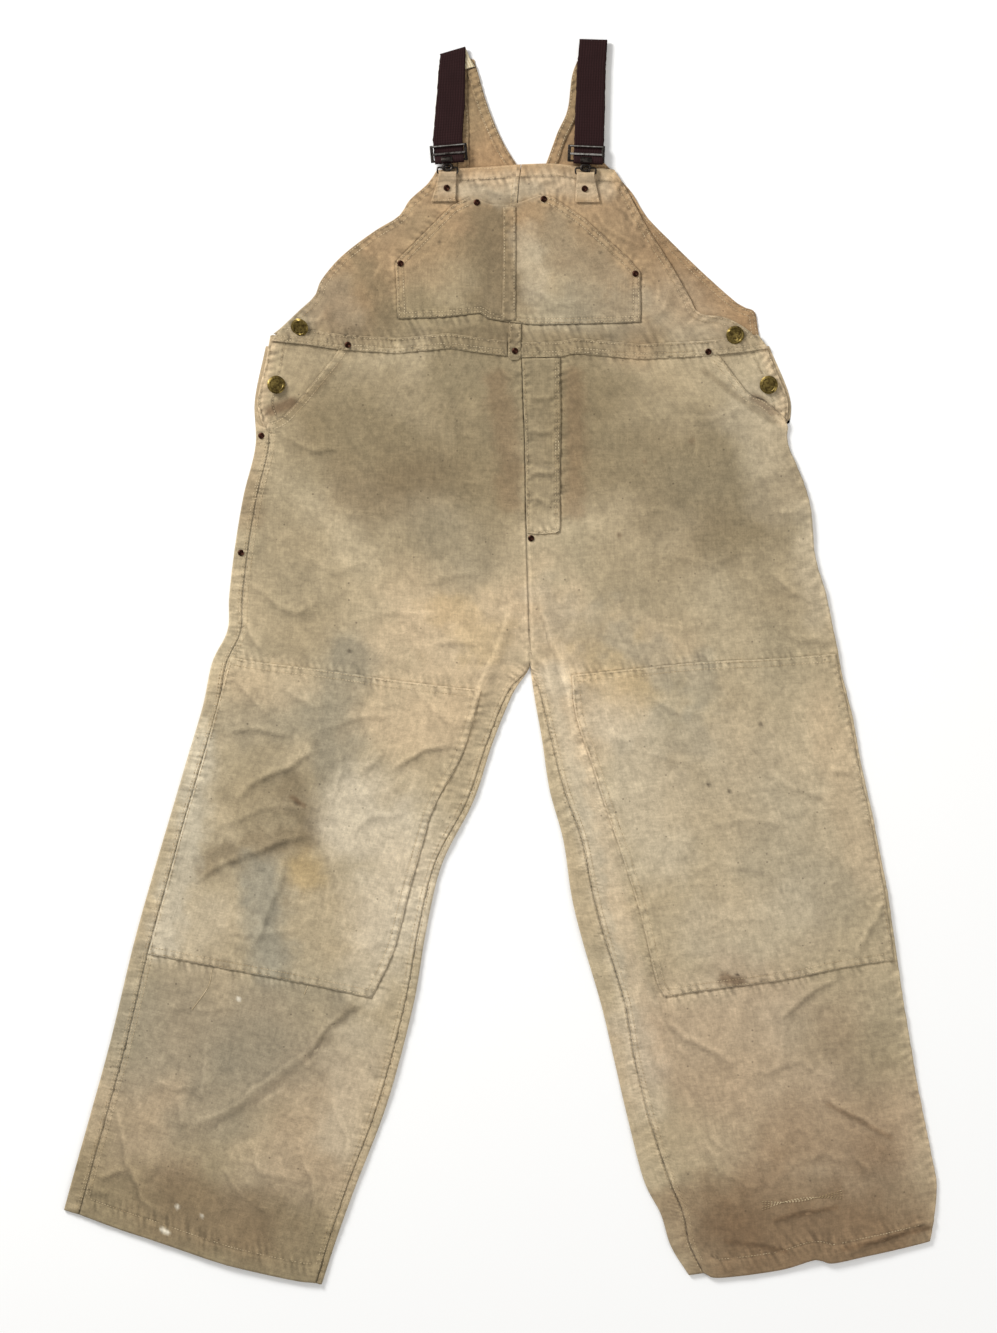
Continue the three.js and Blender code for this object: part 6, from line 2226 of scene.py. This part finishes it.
            place = self.frame @ Matrix.Translation((0, y * MM, (PLANE + 0.45) * MM))
            finish = finishes.steel if self.dull and y < 0 else finishes.bright
            settle(roller, place, f"roller_{self.side}_{'top' if y > 0 else 'middle'}", finish, "")

    def hook(self, finishes: Finishes) -> None:
        """Model the hook: a saddle round the webbing on the lower bar, and the eye under it."""
        deselect()
        bpy.ops.mesh.primitive_plane_add(size=1 * MM)
        made = bpy.context.object
        bpy.ops.object.mode_set(mode="EDIT")
        bpy.ops.transform.resize(value=(13, 1.1, 1))
        start = math.radians(112)
        bpy.ops.transform.translate(value=(0, 4.45 * MM, 0))
        bpy.ops.transform.rotate(value=-start, orient_axis="X", center_override=(0, 0, 0))
        bpy.ops.mesh.spin(steps=12, angle=math.radians(150), center=(0, 0, 0), axis=(1, 0, 0))
        bpy.ops.mesh.select_all(action="SELECT")
        bpy.ops.mesh.normals_make_consistent(inside=False)
        bpy.ops.object.mode_set(mode="OBJECT")
        apply_modifier(made, "BEVEL", width=0.4 * MM, segments=2, limit_method="ANGLE")
        place = self.frame @ Matrix.Translation((self.hook_x * MM, ADJUSTER_FOOT * MM, PLANE * MM))
        settle(made, place, f"hook_{self.side}", finishes.dark_steel, f"hook_{self.side}")
        eye = ring(3.0, 1.7, 5.2, 3.2)
        place = self.frame @ Matrix.Translation((self.hook_x * MM, EYE_DROP * MM, (RING_HEIGHT + 1.5) * MM))
        settle(eye, place, f"hook_eye_{self.side}", finishes.dark_steel, "")
        wire = ring(2.2, 1.0, RING_HALF, RING_DROP / 2)
        place = Matrix.Translation((self.eye[0] * MM, (self.eye[1] - RING_DROP / 2) * MM, RING_HEIGHT * MM))
        settle(wire, place, f"tab_ring_{self.side}", finishes.dark_steel, f"tab_ring_{self.side}")

    def tab(self, finishes: Finishes) -> list[Row]:
        """Build the folded cloth tab that holds the ring, and give its stitches."""
        x0, y0 = self.eye[0], self.eye[1] - RING_DROP
        flare = self.flare
        length, half_top, half_foot, outer = 33.0, 10.4, 14.6, 2.3

        def edges(y: float) -> tuple[float, float]:
            """The tab's left and right edge at a distance below the ring."""
            share = np.clip((-y - 4) / (length - 4), 0, 1)
            half = half_top + (half_foot - half_top) * share
            return x0 - half + flare * share, x0 + half + flare * share

        steps = [(y, None) for y in np.arange(-length, -9.9, 1.2)]
        rise = [(-9.0, 0.25), (-7.0, 0.52), (-5.0, 0.76), (-3.0, 0.92)]
        turns = [math.radians(a) for a in (90, 60, 30, 0, -30, -60, -90)]
        seam = Seam(
            array(((x0 - 9, y0 - 12), (x0 - 13, y0 - length), (x0 + 13, y0 - length), (x0 + 9, y0 - 12))),
            0.35, 5, 6,
        )
        face = Face(2 * LAYER + 0.2, (seam,))
        profile = []
        for y, up in [*steps, *rise, *((outer * math.cos(a), a) for a in turns)]:
            left, right = edges(min(y, 0))
            xs = np.linspace(left, right, 21)
            level = face.height(xs, np.full(21, y0 + min(y, -9.9)))
            if (y, up) in steps:
                z = level
            elif (y, up) in rise:
                z = level * (1 - up) + (RING_HEIGHT + outer) * up
            else:
                z = np.full(21, RING_HEIGHT + outer * math.sin(up))
            profile.append(np.stack([xs, np.full(21, y0 + y), z], axis=1))
        under_z = RING_HEIGHT - outer
        base = LIE.height(np.array([x0]), np.array([y0 - 14]))[0] + LAYER
        for y, up in ((-4, 0.3), (-7, 0.7), (-10, 1.0), (-16, 1.0)):
            left, right = edges(y)
            xs = np.linspace(left + 0.4, right - 0.4, 21)
            profile.append(np.stack(
                [xs, np.full(21, y0 + y), np.full(21, under_z * (1 - up) + base * up)], axis=1,
            ))
        top = np.array(profile)
        spare = (1 - len(top)) % UNDER_STEP
        for _ in range(spare):
            top = np.concatenate([top, top[-1:] + (0, -0.8, 0)])
        name = f"strap_tab_{self.side}"
        mesh = wall_mesh(name, top, np.full(top.shape[:2], CLOTH), faces_up=False, under_step=1)
        x, y = top[..., 0], top[..., 1]
        _, wear_and_shade, seam_shade_and_dirt = face.detail(x, y)
        border = np.minimum(x - x.min(axis=1, keepdims=True), x.max(axis=1, keepdims=True) - x)
        colour_points(
            mesh, DYE_AND_SHADE.paint(x, y, Tone.FADED, wear_and_shade + 0.7 * np.exp(-((border / 1.5) ** 2)), seam_shade_and_dirt),
            under_step=1,
        )
        piece = show(name, mesh, [finishes.duck])
        finish_piece(piece, (name,))
        foot = y0 - length + 2
        lines = [
            ((x0 - 9, y0 - 11), (x0 - 12.5 + flare, foot)), ((x0 + 9, y0 - 11), (x0 + 12.5 + flare, foot)),
            ((x0 - 12.5 + flare, foot), (x0 + 12.5 + flare, foot)), ((x0 - 9, y0 - 11), (x0 + 9, y0 - 11)),
        ]
        return [Row(evenly(line, 12), face.height, 2.8, 2.1, 0.6) for line in lines]

    def build(self, finishes: Finishes) -> list[Row]:
        """Build the whole strap and give its tab's stitches."""
        self.webbing(finishes)
        self.adjuster(finishes)
        self.hook(finishes)
        return self.tab(finishes)


@dataclass
class Studs:
    """The rivets and the tack buttons."""

    rivet: float = 3.8
    button: float = 8.5

    def rivet_model(self) -> bpy.types.Object:
        """Model a rivet: a low dome with a dimple in it."""
        deselect()
        bpy.ops.mesh.primitive_cylinder_add(
            vertices=20, radius=self.rivet * MM, depth=2.6 * MM, location=(0, 0, -0.3 * MM),
        )
        made = bpy.context.object
        bpy.ops.object.transform_apply(location=True)
        bpy.ops.object.mode_set(mode="EDIT")
        pick("FACE", lambda co: co.z > 0.95 * MM)
        bpy.ops.mesh.bevel(offset=0.9 * MM, segments=3)
        pick("FACE", lambda co: co.z > 0.95 * MM)
        bpy.ops.mesh.inset(thickness=0.6 * MM, depth=0.25 * MM)
        bpy.ops.mesh.inset(thickness=0.4 * MM, depth=-0.7 * MM)
        bpy.ops.mesh.inset(thickness=0.5 * MM, depth=-0.25 * MM)
        bpy.ops.mesh.inset(thickness=0.3 * MM, depth=0.3 * MM)
        bpy.ops.object.mode_set(mode="OBJECT")
        return made

    def button_model(self) -> bpy.types.Object:
        """Model a tack button: a rolled rim, a ring inside it and a low middle, on a short shank."""
        deselect()
        bpy.ops.mesh.primitive_cylinder_add(
            vertices=28, radius=self.button * MM, depth=1.8 * MM, location=(0, 0, 3.6 * MM),
        )
        made = bpy.context.object
        bpy.ops.object.transform_apply(location=True)
        bpy.ops.object.mode_set(mode="EDIT")
        pick("FACE", lambda co: co.z > 4.45 * MM)
        bpy.ops.mesh.bevel(offset=0.7 * MM, segments=3)
        pick("FACE", lambda co: co.z > 4.45 * MM)
        for inset, rise in (
            (0.8, 0.0), (0.5, -0.6), (1.0, 0.0), (0.4, 0.35), (0.7, 0.0), (0.4, -0.35), (1.6, 0.25),
        ):
            bpy.ops.mesh.inset(thickness=inset * MM, depth=rise * MM)
        pick("FACE", lambda co: co.z < 2.75 * MM)
        bpy.ops.mesh.inset(thickness=5.2 * MM)
        bpy.ops.mesh.extrude_region_move(TRANSFORM_OT_translate={"value": (0, 0, -2.4 * MM)})
        bpy.ops.object.mode_set(mode="OBJECT")
        return made

    def place(self, node: str, lift: float, sink: float, surface: float) -> Matrix:
        """Where a stud sits: on the cloth at its node's place, square to the cloth.

        Args:
            node: the node it stands for.
            lift: how far the cloth there lies above the lie.
            sink: how far the stud sinks in the cloth.
            surface: how far from the stud the cloth's slope is measured.

        Returns:
            The stud's place.
        """
        low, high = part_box(node)
        x, y = ((low + high) / 2)[:2]
        around = [(surface, 0), (-surface, 0), (0, surface), (0, -surface), (0, 0)]
        z = LIE.height(*(np.array([c / MM + d[k] for d in around]) for k, c in enumerate((x, y))))
        normal = Vector(((z[1] - z[0]) / (2 * surface), (z[3] - z[2]) / (2 * surface), 1)).normalized()
        turn = Vector((0, 0, 1)).rotation_difference(normal).to_matrix().to_4x4()
        return Matrix.Translation((x, y, (z[4] + lift - sink) * MM)) @ turn

    def build(self, finishes: Finishes) -> None:
        """Set every rivet and button."""
        on_one_layer = (
            "pocket_left_top", "pocket_right_top", "pocket_left_side", "pocket_right_side", "waist_left",
            "waist_right",
        )
        lifts = {where: LAYER for where in on_one_layer}
        lifts |= {"waist_centre": LAYER + 0.4, "fly": 0.0, "side_upper": 0.0, "side_lower": 0.0}
        lifts |= {"tab_left": 2 * LAYER + 0.3, "tab_right": 2 * LAYER + 0.3}
        model = self.rivet_model()
        for where, lift in lifts.items():
            node = f"rivet_{where}"
            settle(copy_of(model), self.place(node, lift, -0.7, 5), node, finishes.copper, node)
        bpy.data.objects.remove(model)
        model = self.button_model()
        tilts = {"waist_left": (18, -12), "hip_left": (-6, 8), "waist_right": (10, 6), "hip_right": (4, -8)}
        for where, (pitch, roll) in tilts.items():
            node = f"button_{where}"
            lift = 0.0 if where.startswith("waist") else -LAYER
            turn = Matrix.Rotation(math.radians(pitch), 4, "X") @ Matrix.Rotation(math.radians(roll), 4, "Y")
            tilt = Matrix.Translation((0, 0, TILT_HEIGHT * MM)) @ turn @ Matrix.Translation((
                0, 0, -TILT_HEIGHT * MM,
            ))
            settle(
                copy_of(model), self.place(node, lift, -0.9, 7) @ tilt, node, finishes.brass, node,
            )
        bpy.data.objects.remove(model)
        log.info("studs: %d rivets, %d buttons", len(lifts), len(tilts))


# ---------------------------------------------------------------- studio


@dataclass
class Studio:
    """A plain pale floor, soft lights and the camera straight above the garment."""

    centre: tuple[float, float] = (-0.0024, -0.0041)
    distance: float = 4.37
    lens: float = 100.0

    def floor(self) -> None:
        """Lay the floor under the garment."""
        bpy.ops.object.select_all(action="DESELECT")
        bpy.ops.mesh.primitive_plane_add(size=14, location=(0, 0, -0.0003))
        floor = bpy.context.object
        floor.name = "floor"
        material, _, shader = new_material("matt_white_floor")
        shader.inputs["Base Color"].default_value = rgba("#f7f7f6")
        shader.inputs["Roughness"].default_value = 0.95
        shader.inputs["Specular IOR Level"].default_value = 0.1
        floor.data.materials.append(material)

    def light(self, name: str, place: Vector, size: float, power: float) -> None:
        """Hang one soft light that looks at the garment's middle."""
        data = bpy.data.lights.new(name, "AREA")
        data.shape, data.size, data.energy = "DISK", size, power
        lamp = bpy.data.objects.new(name, data)
        lamp.location = place
        lamp.rotation_euler = (-place).to_track_quat("-Z", "Y").to_euler()
        bpy.context.scene.collection.objects.link(lamp)

    def build(self) -> None:
        """Make the floor, the lights, the sky and the camera."""
        self.floor()
        self.light("key", Vector((-2.1, 2.2, 1.8)), 1.3, 134)
        self.light("fill", Vector((2.4, -1.4, 2.6)), 2.4, 34)
        world = bpy.data.worlds.new("studio")
        world.use_nodes = True
        world.node_tree.nodes["Background"].inputs["Color"].default_value = (1, 0.99, 0.975, 1)
        world.node_tree.nodes["Background"].inputs["Strength"].default_value = 0.5
        scene = bpy.context.scene
        scene.world = world
        scene.view_settings.view_transform = "Standard"
        camera = bpy.data.objects.new("camera", bpy.data.cameras.new("camera"))
        camera.data.lens = self.lens
        camera.data.clip_start, camera.data.clip_end = 0.05, 50
        camera.location = (*self.centre, self.distance)
        scene.collection.objects.link(camera)
        scene.camera = camera


def main() -> None:
    """Build the overalls in order."""
    logging.basicConfig(level=logging.INFO, format="%(message)s")
    finishes = Finishes()
    Studio().build()
    knee_left = (KNEE_LEFT_TOP, KNEE_LEFT_INNER, KNEE_LEFT_FOOT)
    knee_right = (KNEE_RIGHT_TOP, KNEE_RIGHT_INNER, KNEE_RIGHT_FOOT)
    legs = (
        Leg(
            "left", hip=LEFT_HIP, outside=LEFT_OUTSIDE, inside=LEFT_INSIDE, hem_line=LEFT_HEM,
            mouth=LEFT_MOUTH, outer_strip=LEFT_OUTER_STRIP, inner_strip=LEFT_INNER_STRIP,
            outer_laps_front=True, patch_edges=knee_left,
        ),
        Leg(
            "right", hip=RIGHT_HIP, outside=RIGHT_OUTSIDE, inside=RIGHT_INSIDE, hem_line=RIGHT_HEM,
            mouth=RIGHT_MOUTH, outer_strip=(15,) * 20, inner_strip=RIGHT_INNER_STRIP,
            outer_laps_front=False, patch_edges=(*knee_right, FLY_LEFT, FLY_RIGHT),
        ),
    )
    for leg in legs:
        strip = leg.back(finishes)
        front = leg.front(finishes)
        stitches(f"stitches_leg_{leg.side}", leg.rows_of_stitches(front, strip), finishes)
    fronts, bib, back = Fronts(), Bib(), Back()
    stitches("stitches_knees", fronts.knees(finishes), finishes)
    stitches("stitches_fronts", fronts.fly(finishes) + fronts.facings(finishes), finishes)
    stitches("stitches_bib", bib.panels(finishes) + bib.pockets(finishes), finishes)
    stitches("stitches_waist", Waist().build(finishes), finishes)
    stitches("stitches_back", back.halves(finishes) + back.facings(finishes), finishes)
    straps = (
        Strap(
            "left", at=(-61, 602), turn=math.radians(5),
            front=((-76, 660, -42, 660), (-73, 700, -41.5, 702)), fold=(-71, 716, -41, 725),
            back=((-69, 707, -36, 713), (-65, 695, -30, 703)), hook_x=-3,
        ),
        Strap(
            "right", at=(101, 601), turn=math.radians(-2.5),
            front=((88, 650, 123, 650), (90, 700, 124, 700)), fold=(93, 734, 126, 733),
            back=((93.5, 712, 122, 712), (94, 694, 119, 694)), hook_x=0, drift=2.8, flare=2.5, dull=False,
        ),
    )
    stitches("stitches_tabs", [row for strap in straps for row in strap.build(finishes)], finishes)
    Studs().build(finishes)


if __name__ == "__main__":
    main()
